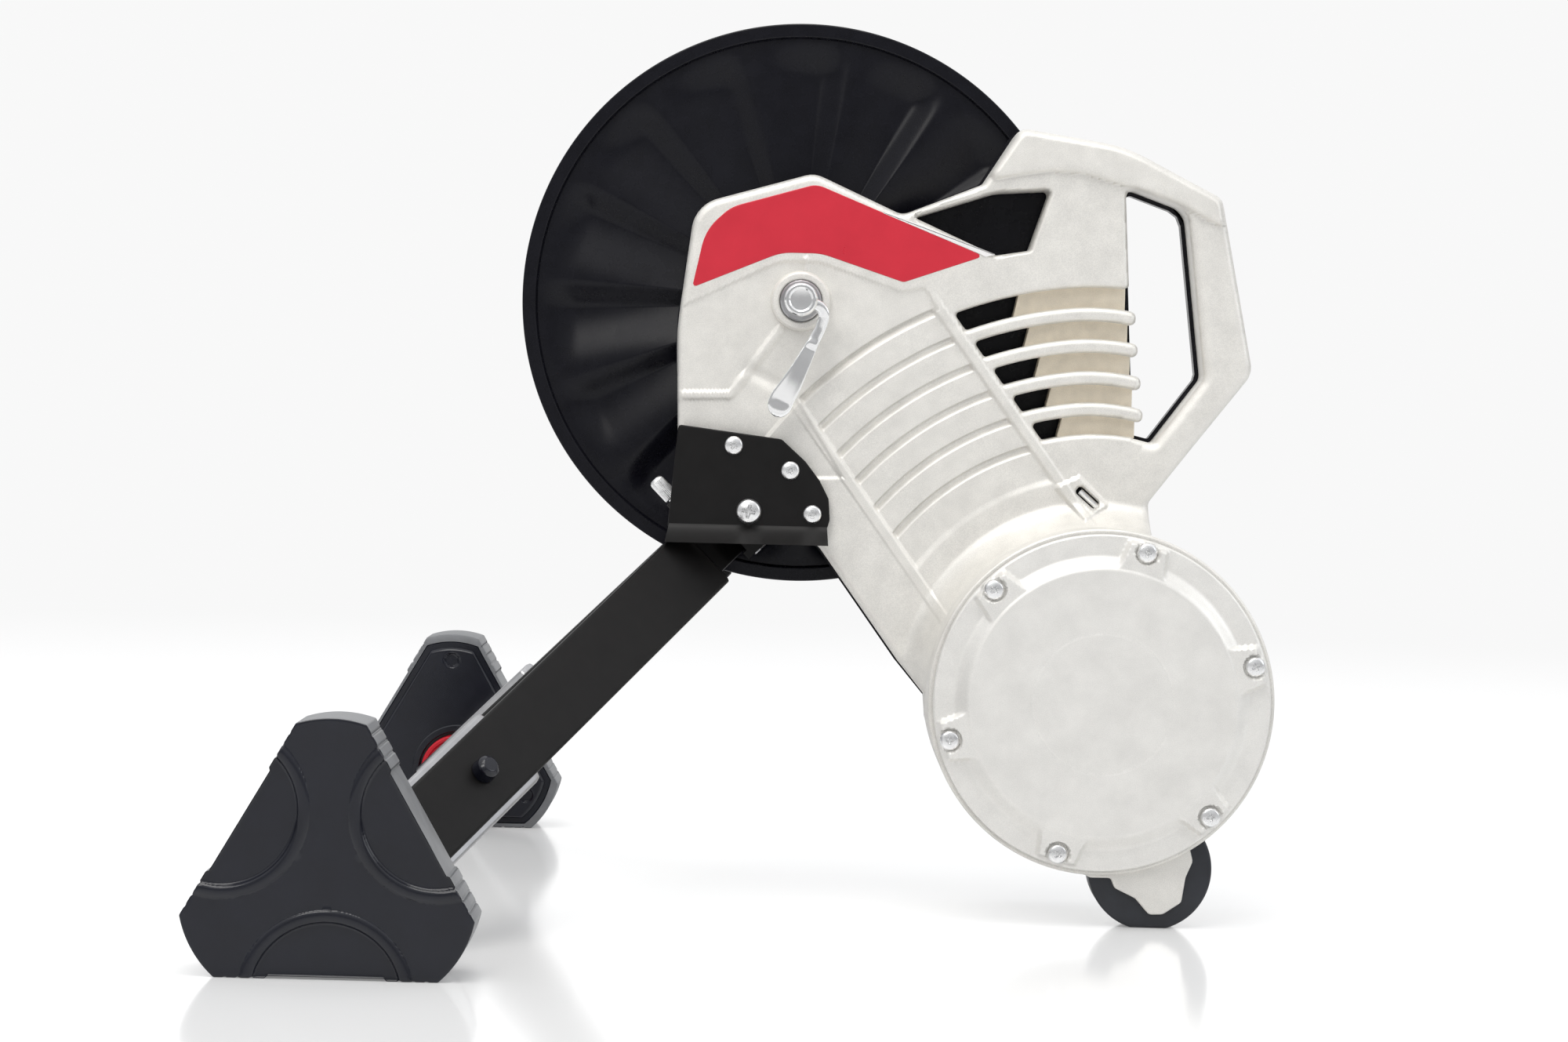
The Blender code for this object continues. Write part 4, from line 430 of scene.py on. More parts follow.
# %% Finishes on CAD nodes
NODE_FINISH = {
    "machined_alloy": ALLOY, "steel": STEEL, "zinc_steel": ZINC, "black_paint": PAINT, "black_plastic": BLACK,
    "rubber": RUBBER, "gloss_black": GLOSS, "red_metal": RED_METAL, "chrome": CHROME, "cast_alloy": CAST,
    "red_panel": RED}
slots = {row["node"]: row["material_slot"] for row in frame["record"]["subparts"]}
for node, thing in frame["nodes"].items():
    thing.data.materials.clear()
    thing.data.materials.append(NODE_FINISH[slots[node]])
print("dressed", len(slots), "CAD nodes")

# %% [markdown]
# ## The main casting
# The real one is a die casting in aluminium: a broad neck with curved grooves runs from the axle down to
# the round housing, with a finned window and a handle behind it. Its face could be built from many small
# solids, but a casting has soft steps and round edges everywhere. So the face is one height field: a grid
# drawn in rings round the point that the grooves and fins are drawn from, and a formula that gives each
# point its height. The rings follow the grooves, so a few rows make each groove crisp.

# %% Lines of the casting
FACE_Y, BACK_Y = -58.5, -25.0
BODY = [
    (-75.2, -76.5, 60), (-77.0, -20.0, 120), (-67.5, 58.5, 22), (6.5, 80.0, 16), (62.0, 55.3, 10),
    (111.5, 75.5, 6), (134.0, 111.5, 9), (200.0, 101.5, 90), (261.5, 70.5, 8), (283.5, -38.0, 14),
    (246.5, -86.0, 4), (220.4, -120.5, 4), (222.0, -150.0, 1), (200.0, -241.0, 1), (120.0, -262.0, 1),
    (88.9, -250.0, 4), (66.0, -223.0, 6), (15.0, -153.0, 4), (9.0, -150.5, 2), (-50.0, -91.5, 3),
    (-74.8, -88.0, 1)]
WINDOW = [(69.0, 54.0, 1), (120.6, 31.4, 2), (141.8, 35.0, 3), (154.5, 73.4, 2.5), (120.0, 71.0, 30)]
BLOCK = [(113.5, 78.5, 3), (135.0, 110.5, 8), (200.0, 100.7, 90), (260.7, 69.9, 7), (263.3, 52.0, 2),
         (240.0, 62.8, 8), (200.6, 76.6, 4), (173.4, 84.0, 10), (153.8, 84.9, 6)]
PANEL = [(-68.1, 6.6, 1.5), (-60.5, 43.0, 40), (-45.0, 57.5, 26), (8.0, 73.0, 14), (113.6, 30.8, 1.5),
         (63.8, 13.2, 4), (12.0, 29.8, 34), (-13.0, 29.8, 34)]
UNIT = np.array([189.5, -241.6])
HOUSING_R, HOUSING_FRONT = 106.0, -119.0
ARC = np.array([194.4, -250.3])
GROOVES = (269.4, 248.8, 228.7, 209.1, 189.1, 169.0)
NECK = np.array([0.59, -0.807]) / math.hypot(0.59, 0.807)
ACROSS = np.array([-NECK[1], NECK[0]])
LEFT_RAIL, RIGHT_RAIL = -39.5, 68.8
FINS = (247.3, 227.7, 207.7, 188.1)
FIN_THICK, FIN_OUTER, FIN_INNER = 8.6, 264.0, 172.5
FIN_LEFT = RIGHT_RAIL + 5.5
FIN_TIPS = (209.4, 211.2, 213.6, 215.4)
WALL_ENDS = (203.2, 205.2, 207.2, 209.2, 211.2)
SLOT_END = (134.0, 141.3, 148.6, 156.0, 163.4)
FIN_FLOOR = -46.0


def rail_angle(radius, offset):
    """Angle round the arc centre where a circle meets a line parallel to the neck."""
    start = ACROSS * offset - ARC
    along = float(start @ NECK)
    step = -along - math.sqrt(along ** 2 - float(start @ start) + radius ** 2)
    spot = start + NECK * step
    return math.atan2(spot[1], spot[0])


def droop(x, amount):
    """How far the fins bend down near their free ends."""
    return amount * np.clip((x - 172.0) / 36.0, 0.0, 1.3) ** 1.8


def arc_corners(radius, first_x, last_x, step, amount):
    """Corners along an arc between two x values, bent down to the right."""
    count = max(2, int(abs(last_x - first_x) / step))
    x = np.linspace(first_x, last_x, count)
    z = ARC[1] + np.sqrt(radius ** 2 - (x - ARC[0]) ** 2) - droop(x, amount)
    return [(float(a), float(b), 0.0) for a, b in zip(x, z)]


def left_x(radius):
    """Where a fin's arc starts, beside the neck's right rail."""
    return ARC[0] + radius * math.cos(rail_angle(radius, FIN_LEFT))


def comb():
    """The handle opening and the five slots as one hole: in and out round each fin's round end."""
    half = 0.5 * FIN_THICK
    uppers = [FIN_OUTER] + [radius - half for radius in FINS]
    lowers = [radius + half for radius in FINS] + [FIN_INNER]
    corners = [(200.8, 77.0, 5.0), (204.6, 15.0, 1.5)]
    for index, (upper, lower) in enumerate(zip(uppers, lowers)):
        top, bottom = (1.3 if index == 0 else 2.4), (1.3 if index == 4 else 2.4)
        right = 204.0 if index == 0 else FIN_TIPS[index - 1]
        end = FIN_TIPS[index] if index < 4 else 208.6
        radius = 1.5 if index == 0 else half - 0.1
        row = arc_corners(upper, right, left_x(upper), 7.0, top)
        corners += [(*row[0][:2], radius)] + row[1:-1] + [(*row[-1][:2], 2.4)]
        row = arc_corners(lower, left_x(lower), end, 7.0, bottom)
        corners += [(*row[0][:2], 2.4)] + row[1:-1] + [(*row[-1][:2], half - 0.1 if index < 4 else 1.5)]
    return corners + [(209.5, -80.5, 4.0), (222.5, -83.5, 4.0), (253.0, -42.0, 8.0), (240.0, 63.0, 14.0)]


COMB = rounded(comb(), 12.0)
SLOT = np.array([0.756, -0.655])
TENSION = np.array([181.9, -118.1])
tension_slot = np.stack([TENSION + SLOT * a + np.array([-SLOT[1], SLOT[0]]) * b for a, b in (
    (-8.4, -2.8), (8.4, -2.8), (8.4, 2.8), (-8.4, 2.8))])
tension_slot = rounded([(*spot, 2.2) for spot in tension_slot], 15.0)
print("comb-shaped opening:", len(COMB), "points")

# %% [markdown]
# ### Height of the casting's face
# Every form adds to or takes from the height: the field of the neck lies lower than its two rails and is
# a little crowned, each groove has a steep upper wall and a soft lower one, the handle's block stands
# proud and the housing's foot swells towards the viewer. The boss of the axle, a low drum, is not part of it.


# %% Relief of the face
def relief(x, z):
    """Height over the casting's face, towards the viewer, in millimetres."""
    ring = np.hypot(x - ARC[0], z - ARC[1])
    side = x * ACROSS[0] + z * ACROSS[1]
    flat = np.stack([x, z], axis=1)

    def gap(line, closed=True):
        """Distance of every point to a line, positive inside a closed one."""
        return to_line(flat, line, closed)[0]

    field = (ease((side - LEFT_RAIL - 3.0) / 2.2) * ease((RIGHT_RAIL - 2.8 - side) / 2.2)
             * ease((GROOVES[0] + 1.2 - ring) / 2.0) * ease((ring - 143.0) / 6.0))
    middle, half = 0.5 * (LEFT_RAIL + RIGHT_RAIL), 0.5 * (RIGHT_RAIL - LEFT_RAIL)
    height = field * (1.0 * (1.0 - ((side - middle) / half) ** 2) - 1.7)
    for radius in GROOVES:
        groove = ease((2.7 - (ring - radius)) / 0.9) * ease((ring - radius + 3.3) / 4.0)
        height -= 3.0 * groove * ease((side - LEFT_RAIL - 3.6) / 2.0) * ease((RIGHT_RAIL - 3.4 - side) / 2.0)
    height += 0.9 * ease((4.2 - np.abs(side - LEFT_RAIL)) / 2.2) * ease((GROOVES[0] + 8.0 - ring) / 14.0)
    height += 0.8 * ease((3.8 - np.abs(side - RIGHT_RAIL)) / 2.0) * ease((GROOVES[0] + 16.0 - ring) / 14.0)
    height -= 1.9 * ease((gap(PAD_LINE) + 1.0) / 2.4) * ease((ring - GROOVES[0] + 1.0) / 2.5)
    height -= 1.2 * ease((gap(STRIP_LINE) + 1.0) / 3.0)
    height += 1.1 * ease((4.0 - gap(BEAD_LINE, False)) / 2.6)
    height -= 2.2 * np.exp(-(gap(POCKET_LINE, False) / 4.5) ** 2)
    height += 1.1 * ease((2.8 - gap(RIB_LINE, False)) / 2.4)
    share = np.clip((gap(BLOCK_LINE) + 0.8) / 5.2, 0.0, 1.0)
    height += 4.8 * np.sqrt(np.maximum(1.0 - (1.0 - share) ** 2, 0.0)) * (share > 0.0)
    height += 3.0 * ease((gap(TENSION_LINE) + 0.6) / 2.6)
    shoulder = np.hypot(x - UNIT[0], z - UNIT[1])
    return height + 0.078 * np.clip(123.0 - shoulder, 0.0, None) ** 2


PAD_LINE = leftwards(even(rounded([
    (-95.0, -15.5, 0), (-13.5, 24.6, 26), (11.5, 24.6, 26), (63.0, 7.4, 5), (77.0, 10.5, 2), (98.0, -22.0, 5),
    (60.0, -115.0, 0), (-95.0, -115.0, 0)]), 4.0))
STRIP_LINE = leftwards(np.array([(-95.0, -62.5), (-42.5, -61.5), (-12.5, -21.0), (-5.0, -26.0), (-0.5, -62.0),
                                 (30.0, -110.0), (-95.0, -115.0)]))
BEAD_LINE = even(rounded([(-12.0, -18.0, 0), (-42.0, -59.8, 6), (-80.0, -61.0, 0)]), 2.0, closed=False)
POCKET_LINE = np.array([(-14.1, -51.8), (-30.0, -44.3)])
RIB_LINE = np.array([(2.5, 26.0), (2.7, 18.5)])
BLOCK_LINE = leftwards(even(rounded(BLOCK), 2.0))
TENSION_LINE = leftwards(rounded([(160.0, -112.0, 2), (177.0, -104.0, 2), (196.0, -123.0, 2),
                                  (180.0, -133.0, 2)]))
print("height beside the boss:", relief(np.array([25.0]), np.array([0.0])).round(2))

# %% [markdown]
# ### The face as a grid
# Points outside the outline go. Those next to it are moved onto it, and the points near an edge are
# spread so that they lie evenly on its quarter circle. The same points at the back edge close the form.


# %% Build the casting's face
EDGE_ROUND, HANDLE_ROUND = 4.6, 8.0
HANDLE_X = 216.0


def rings_for_casting():
    """Radii of the grid: 1.35 mm apart, and closer in the grooves."""
    radii = np.arange(96.0, 405.0, 1.35)
    fine = np.concatenate([np.arange(radius - 3.6, radius + 3.6, 0.8) for radius in GROOVES])
    coarse = radii[np.abs(radii[:, None] - np.array(GROOVES)[None]).min(axis=1) > 4.2]
    return np.unique(np.concatenate([coarse, fine]).round(4))


def cells_round(cell):
    """For each point of the grid, whether each of the four cells that meet there is kept."""
    padded = np.pad(cell, 1)
    return padded[:-1, :-1], padded[1:, :-1], padded[:-1, 1:], padded[1:, 1:]


def casting_face():
    """Cells and points of the grid that belong to the face, and where its points go near an edge."""
    r, a = np.meshgrid(rings_for_casting(), np.radians(np.arange(60.0, 184.0, 0.27)), indexing="ij")
    flat = np.stack([ARC[0] + r * np.cos(a), ARC[1] + r * np.sin(a)], axis=-1).reshape(-1, 2)
    near_body = (flat[:, 0] > -84) & (flat[:, 0] < 292) & (flat[:, 1] > -262) & (flat[:, 1] < 120)
    distance = np.full(len(flat), -50.0)
    nearest = flat.copy()
    edge = np.full(len(flat), EDGE_ROUND)
    distance[near_body], nearest[near_body] = to_line(flat[near_body], leftwards(even(rounded(BODY), 2.0)))
    close = np.flatnonzero(distance > -6.0)
    for hole, soft in ((COMB, 3.6), (even(rounded(WINDOW), 1.5), 2.6), (tension_slot, 0.8)):
        gap, spot = to_line(flat[close], leftwards(hole))
        nearer = -gap < distance[close]
        picked = close[nearer]
        distance[picked], nearest[picked], edge[picked] = -gap[nearer], spot[nearer], soft
        if hole is COMB:
            edge[picked[spot[nearer, 0] > HANDLE_X]] = HANDLE_ROUND
    rel, cut_r = flat[close] - UNIT, HOUSING_R - 1.0
    away = np.hypot(*rel.T)
    nearer = away - cut_r < distance[close]
    picked = close[nearer]
    distance[picked], edge[picked] = (away - cut_r)[nearer], 0.0
    nearest[picked] = UNIT + rel[nearer] / away[nearer, None] * cut_r
    keep = distance.reshape(r.shape) > 0.35
    cell = keep[:-1, :-1] & keep[1:, :-1] & keep[:-1, 1:] & keep[1:, 1:]
    for _ in range(2):
        one, two, three, four = cells_round(cell)
        touching = (one & four & ~two & ~three) | (two & three & ~one & ~four)
        cell &= ~(touching[:-1, :-1] | touching[1:, :-1] | touching[:-1, 1:] | touching[1:, 1:])
    fans = sum(part.astype(int) for part in cells_round(cell)).reshape(-1)
    used = fans > 0
    rim = used & (fans < 4)
    gradient = flat - nearest
    gradient = gradient / np.maximum(np.linalg.norm(gradient, axis=1), 1e-9)[:, None]
    spread = edge * (1.0 - np.cos(0.5 * math.pi * np.clip(distance / np.maximum(edge, 1e-6), 0.0, 1.0)))
    moved = np.where((distance < edge) & (edge > 0.0), spread, distance)
    spots = np.where(rim[:, None], nearest, flat + gradient * (moved - distance)[:, None])
    return cell, used, rim, spots, np.where(rim, 0.0, moved), edge, gradient


cell, used, rim, spots, left, edge, gradient = casting_face()
print("casting face:", int(cell.sum()), "cells,", int(rim.sum()), "points on its edges")


# %% Close the casting and shade it
def fill(mesh, points, faces):
    """Put points in metres and faces of four corners into an empty mesh."""
    mesh.vertices.add(len(points))
    mesh.vertices.foreach_set("co", points.astype(np.float32).reshape(-1))
    mesh.loops.add(faces.size)
    mesh.loops.foreach_set("vertex_index", faces.astype(np.int32).reshape(-1))
    mesh.polygons.add(len(faces))
    mesh.polygons.foreach_set("loop_start", np.arange(0, faces.size, 4, dtype=np.int32))
    mesh.update(calc_edges=True)


def casting_mesh(name):
    """Front sheet, straight walls along every edge and a flat back sheet, with normals from the formula."""
    index = np.full(len(used), -1)
    index[used] = np.arange(int(used.sum()))
    spot, gone, soft, slope = spots[used], left[used], edge[used], gradient[used]
    x, z = spot.T
    n = len(x)
    tiny = 0.15
    tilt = np.stack([(relief(x + tiny, z) - relief(x - tiny, z)) / (2 * tiny),
                     (relief(x, z + tiny) - relief(x, z - tiny)) / (2 * tiny)], axis=1)
    flatter = np.where(soft > 7.0, 0.62, 1.0)
    share = np.clip(gone / np.maximum(soft, 1e-6), 0.0, 1.0)
    steep = np.where(soft > 0.0, (1.0 - share) / np.sqrt(np.maximum(1.0 - (1.0 - share) ** 2, 1e-3)), 0.0)
    tilt = tilt + slope * (steep * flatter)[:, None]
    normal = np.stack([-tilt[:, 0], -np.ones(n), -tilt[:, 1]], axis=1)
    normal /= np.linalg.norm(normal, axis=1, keepdims=True)
    front = np.stack([x, FACE_Y - relief(x, z) + quarter_round(gone, soft) * flatter, z], axis=1)
    back = np.stack([x, np.full(n, BACK_Y), z], axis=1)
    columns = cell.shape[1] + 1
    i, j = np.divmod(np.flatnonzero(cell.reshape(-1)), columns - 1)
    corner = i * columns + j
    quads = index[np.stack([corner, corner + 1, corner + columns + 1, corner + columns], axis=1)]
    sides = np.concatenate([quads[:, [0, 1]], quads[:, [1, 2]], quads[:, [2, 3]], quads[:, [3, 0]]])
    key = np.sort(sides, axis=1)
    _, first, count = np.unique(key[:, 0].astype(np.int64) * n + key[:, 1], return_index=True,
                                return_counts=True)
    border = sides[first[count == 1]]
    walls = np.stack([border[:, 1], border[:, 0], border[:, 0] + n, border[:, 1] + n], axis=1)
    faces = np.concatenate([quads, walls, quads[:, ::-1] + n])
    wall_normal = np.stack([-slope[:, 0], np.zeros(n), -slope[:, 1]], axis=1)
    loops = np.concatenate([normal[quads].reshape(-1, 3), wall_normal[walls % n].reshape(-1, 3),
                            np.tile([0.0, 1.0, 0.0], (quads.size, 1))])
    mesh = bpy.data.meshes.new(name)
    points = place(np.concatenate([front, back]))
    fill(mesh, points, faces)
    mesh.validate()
    if mesh.polygons[0].normal.y > 0.0:
        faces = faces[:, ::-1]
        loops = loops.reshape(-1, 4, 3)[:, ::-1].reshape(-1, 3)
        mesh.clear_geometry()
        fill(mesh, points, faces)
    mesh.shade_smooth()
    mesh.normals_split_custom_set(loops.astype(np.float32))
    return mesh


piece("casting_face", casting_mesh("casting_face"), "frame", ["main_casting"], CAST, sharp=None)

# %% [markdown]
# ### The wall behind the fins, the round housing and the axle's boss
# The fins belong to the face: their edges are so soft that they meet in the middle, which makes a round
# bar. The wall between them lies 12.5 mm back and stops at a slot. Housing and boss are turned.


# %% Walls between the fins, housing and boss
# The walls' finish is painted light: a lighter, tan copy of the cast aluminium in place of the fins' warm
# reflection.
edges = [FIN_OUTER, *(radius + way * FIN_THICK / 2.0 for radius in FINS for way in (1.0, -1.0)), FIN_INNER]
for number, (outer, inner, stop, end) in enumerate(zip(edges[0::2], edges[1::2], SLOT_END, WALL_ENDS), 1):
    upper = arc_corners(outer + 1.2, stop + 2.5, end, 7.0, 1.3 if number == 1 else 2.4)
    lower = arc_corners(inner - 1.2, end, stop - 1.0, 7.0, 1.3 if number == 5 else 2.4)
    line = [(*spot[:2], 0.8) for spot in upper[:1]] + upper[1:] + lower
    slab("fin_wall_%d" % number, rounded(line), FIN_FLOOR, BACK_Y, "frame", ["main_casting"], WALL_PAINTED_REFLECTION,
         edge=0.7, spacing=2.5)

lathe("casting_housing", rounded_profile([
    (97.5, BACK_Y, 0), (106.0, BACK_Y, 0), (106.0, -60.0, 0), (106.0, HOUSING_FRONT, 1.6),
    (101.0, HOUSING_FRONT, 0), (97.5, HOUSING_FRONT, 0)]), "frame", ["main_casting"], CAST,
    UNIT[0], UNIT[1], 240, closed=True)
lathe("casting_axle_boss", rounded_profile([
    (13.3, -56.5, 0), (13.3, -62.3, 0.4), (14.2, -62.9, 0.4), (17.0, -62.9, 1.0), (18.3, -61.4, 0.8),
    (18.9, -56.5, 0)]), "frame", ["main_casting"], CAST, steps=120, closed=True)

# %% [markdown]
# ## The lid of the resistance unit
# A flat outer ring, a bevel up to a plateau, and six tabs where the plateau runs out to the screws. It is
# a height field in rings and spokes. The screws sit in round seats let into the tabs.

# %% Lid
LID_FRONT, LID_R = -132.0, 103.0
SCREW_R = 95.6
SCREW_ANGLES = np.radians(15.0 + 60.0 * np.arange(6))


def lid_depth(r, turn):
    """Depth of the lid's face behind its plateau."""
    slope = ease((r - 80.5) / 10.5) * 5.6
    ring = 5.6 + 0.7 * ease((r - 91.0) / 12.0)
    depth = np.where(r < 91.0, slope, ring)
    for angle in SCREW_ANGLES:
        along, aside = r * np.cos(turn - angle), r * np.sin(turn - angle)
        width = 15.5 - np.clip(along - 80.0, 0.0, 30.0) * 0.16
        tab = ease((width - np.abs(aside)) / 3.0 + 0.3) * ease((101.5 - along) / 3.5) * (along > 0.0)
        depth = np.minimum(depth, np.where(tab > 0.0, depth * (1.0 - tab) + 0.7 * tab, depth))
        seat = np.hypot(along - SCREW_R, aside)
        depth = np.where(seat < 9.0, depth + (4.3 - depth) * ease((7.7 - seat) / 0.7), depth)
    depth += 0.25 * np.exp(-((r - 43.0) / 0.8) ** 2)
    return depth + quarter_round(LID_R - r, 1.4)


SPOKES = 540
lid_rings = np.concatenate([[0.0, 8.0, 20.0, 32.0], np.arange(40.0, 46.5, 0.5),
                            [52.0, 60.0, 68.0, 74.0, 78.0], np.arange(80.0, 102.0, 0.6),
                            LID_R - 1.4 * (1 - np.sin(np.linspace(0.3, 1.57, 5)))])
lid_r, lid_a = np.meshgrid(lid_rings, full_turn(SPOKES), indexing="ij")
back_r = [103.0, 103.0, 88.0, 88.0, 84.0, 84.0, 0.0]
back_y = [-123.5, -120.6, -120.6, -116.6, -116.6, -126.6, -126.6]
lid_y = np.concatenate([LID_FRONT + lid_depth(lid_r, lid_a), spokes(back_y, SPOKES)])
lid_r = np.concatenate([lid_r, spokes(back_r, SPOKES)])
form("resistance_lid", revolve(lid_r, lid_y, *UNIT), "frame", ["resistance_cover"], LID,
     sharp=40.0)

# %% [markdown]
# ## Screws
# A pan head screw is a dome with a cross let into it. Head and shank are one surface: rings that go out
# over the head, in under it and down the shank.


# %% Screw heads
def screw_head(name, x, z, radius, top, seat, shank, end, nodes, cross=0.42, twist=0.3):
    """Pan head: a low dome, with the four arms of a cross cut into it to four fifths of its height."""
    tall, dome, around = seat - top, 0.35, 96
    shares = [0.0, 0.12, 0.2, 0.28, 0.36, 0.42, 0.48, 0.54, 0.62, 0.72, 0.8, 0.86, 0.92, 0.97, 1.0]
    s, a = np.meshgrid(shares, full_turn(around), indexing="ij")
    y = top + tall * (dome * s ** 2 + (1.0 - dome) * 0.5 * np.clip((s - 0.8) / 0.2, 0.0, 1.0) ** 2)
    one, two = np.abs(s * np.cos(a + twist)), np.abs(s * np.sin(a + twist))
    arm, reach = np.minimum(one, two), np.maximum(one, two)
    y += tall * 0.8 * ease((0.13 - arm) / 0.05) * ease((cross - reach) / 0.08)
    r = np.concatenate([radius * s, spokes([radius, radius - 0.2, shank, shank, 0.0], around)])
    y = np.concatenate([y, spokes([seat - 0.2, seat, seat, end, end], around)])
    form(name, revolve(r, y, x, z), "frame", nodes, ZINC, sharp=28.0)


lid_spots = UNIT + SCREW_R * np.stack([np.cos(SCREW_ANGLES), np.sin(SCREW_ANGLES)], axis=1)
for number, (x, z) in enumerate(lid_spots, 1):
    screw_head("lid_screw_%d" % number, x, z, 6.0, -131.1, -128.1, 2.4, -106.0, ["cover_screw_%d" % number],
               twist=0.35 + 0.7 * number)
for number, (x, z) in enumerate([(-39.5, -91.1), (-3.9, -105.8), (10.5, -132.8)], 1):
    screw_head("plate_screw_%d" % number, x, z, 5.8, -69.2, -66.3, 2.5, -55.0, ["bracket_screw_%d" % number],
               twist=0.5 * number)
screw_head("plate_bolt", -29.1, -131.95, 8.0, -71.5, -66.3, 4.0, -44.5, ["bracket_main_bolt"], cross=0.5,
           twist=0.2)

# %% [markdown]
# ## Red panel and its stripe
# A thin moulding set into the casting above the axle. A white stripe along the right part of its upper
# edge fades to a point.

# %% Panel
slab("red_side_panel", rounded(PANEL), -58.9, -57.6, "frame", ["side_panel"], RED, edge=0.5,
     spacing=1.5)
stripe = [(50.0, 55.9), (112.0, 31.6), (114.0, 30.2), (120.8, 32.0), (60.0, 53.9), (50.0, 56.6)]
slab("panel_stripe", np.array(stripe), -59.0, -57.9, "frame", [], WHITE, edge=0.2, spacing=1.5)

# %% [markdown]
# ## The guard disc
# A large fluted dish in black plastic. Fifteen flutes run out from the middle. Each has a sharp crease
# near the hub that fades towards the rim, so the disc looks like a turbine.

# %% Guard disc
GUARD_RIM, GUARD_BORE = 168.0, 26.0
GUARD_NEAR = -11.0
RIM_EDGE = 167.4
FLUTES = 15.0


def flute_height(r, turn):
    """Depth of the near face: a sawtooth across each flute, softer further out, that ends at the rim."""
    phase = (np.degrees(turn) - 7.4) * FLUTES / 360.0 % 1.0
    crease = 0.3
    tooth = np.where(phase < crease, phase / crease, (1.0 - phase) / (1.0 - crease))
    soft = 0.5 - 0.5 * np.cos(math.pi * tooth)
    fade = np.clip((r - 70.0) / 80.0, 0.0, 1.0)
    tooth = tooth * (1.0 - fade) + soft * fade
    reach = ease((r - 56.0) / 18.0) * ease((GUARD_RIM - 1.5 - r) / 22.0)
    return 4.0 * np.clip((r - 58.0) / (GUARD_RIM - 58.0), 0.0, 1.0) + 6.2 * reach * tooth


def guard_disc():
    """Fluted near face, square rim and a back sheet 2.6 mm behind the flutes."""
    around = 900
    rings = np.concatenate([[GUARD_BORE, 40.0, 54.0], np.arange(57.0, 80.0, 2.0), np.arange(80.0, 167.0, 3.5),
                            [RIM_EDGE]])
    r, a = np.meshgrid(rings, full_turn(around), indexing="ij")
    rim_r = [168.2, 168.6, 169.2, 176.2, 176.8, 177.0, 177.0, 176.6, 174.6]
    rim_y = [-8.5, -9.9, -10.2, -10.2, -9.9, -9.3, 9.9, 10.5, 10.5]
    back_r = np.concatenate([[174.6, 171.5], rings[::-1][1:-1:3], [GUARD_BORE]])
    low_r, low_a = np.meshgrid(back_r, full_turn(around), indexing="ij")
    low_y = GUARD_NEAR + flute_height(np.minimum(low_r, RIM_EDGE), low_a) + 2.6
    low_y[0], low_y[1] = -6.0, -6.6
    points, faces = revolve(np.concatenate([r, spokes(rim_r, around), low_r]),
                            np.concatenate([GUARD_NEAR + flute_height(r, a), spokes(rim_y, around), low_y]),
                            closed=True)
    return make_mesh("guard_disc", place(points), faces)


HINGE_X, HINGE_Z = -37.0, -141.0
SLANT = 0.70711


def hinge_spot(across, down):
    """Side-view place measured from the legs' hinges, across and down the legs."""
    return (HINGE_X - SLANT * across - SLANT * down, HINGE_Z + SLANT * across - SLANT * down)


def cut_with(mesh, outline, near, far):
    """The mesh less a prism of the outline, made with one Boolean that is applied at once."""
    line = leftwards(np.asarray(outline, float))
    points, faces = capped(np.stack([np.insert(line, 1, y, axis=1) for y in (near, far)]))
    tool = bpy.data.objects.new("cutter", make_mesh("cutter", place(points), faces))
    target = bpy.data.objects.new("blank", mesh)
    for thing in (tool, target):
        bpy.context.scene.collection.objects.link(thing)
    change = target.modifiers.new("notch", "BOOLEAN")
    change.object = tool
    change.operation = "DIFFERENCE"
    change.solver = "EXACT"
    bpy.context.view_layer.update()
    result = bpy.data.meshes.new_from_object(target.evaluated_get(bpy.context.evaluated_depsgraph_get()))
    for thing in (tool, target):
        bpy.data.objects.remove(thing)
    return result


# The window is smaller at its lower corner than the CAD's, and the steel channel runs through the dish there.
notch = [hinge_spot(*corner) for corner in (
    (22.8, -23.5), (22.8, 26.5), (-15.0, 26.5), (-15.0, 4.0), (-22.8, -2.0), (-22.8, -23.5))]
guard_mesh = cut_with(guard_disc(), notch, -30.0, 30.0)
piece("guard_dish", guard_mesh, "frame", ["chain_guard_disc"], BLACK, sharp=24.0)

# %% [markdown]
# ## Bracket plate
# A painted steel sheet covers the hinge bracket. Its lower edge flares towards the viewer as a skirt over
# the tops of the legs. The skirt is one cross-section carried from left to right.

# %% Bracket plate
PLATE = [(-74.3, -78.8, 2), (-9.8, -86.4, 4), (5.4, -99.9, 3), (14.5, -111.5, 5), (20.5, -123.0, 5),
         (21.5, -136.0, 5), (19.5, -143.0, 1.2), (-79.5, -143.0, 1.2)]
PLATE_FRONT = -66.0
SKIRT_TOP, SKIRT_DROP, SKIRT_LOW = -140.5, 11.3, -151.8
slab("bracket_sheet", rounded(PLATE), PLATE_FRONT, -63.0, "frame", ["bracket_plate"], PAINT,
     edge=0.9, spacing=1.5)


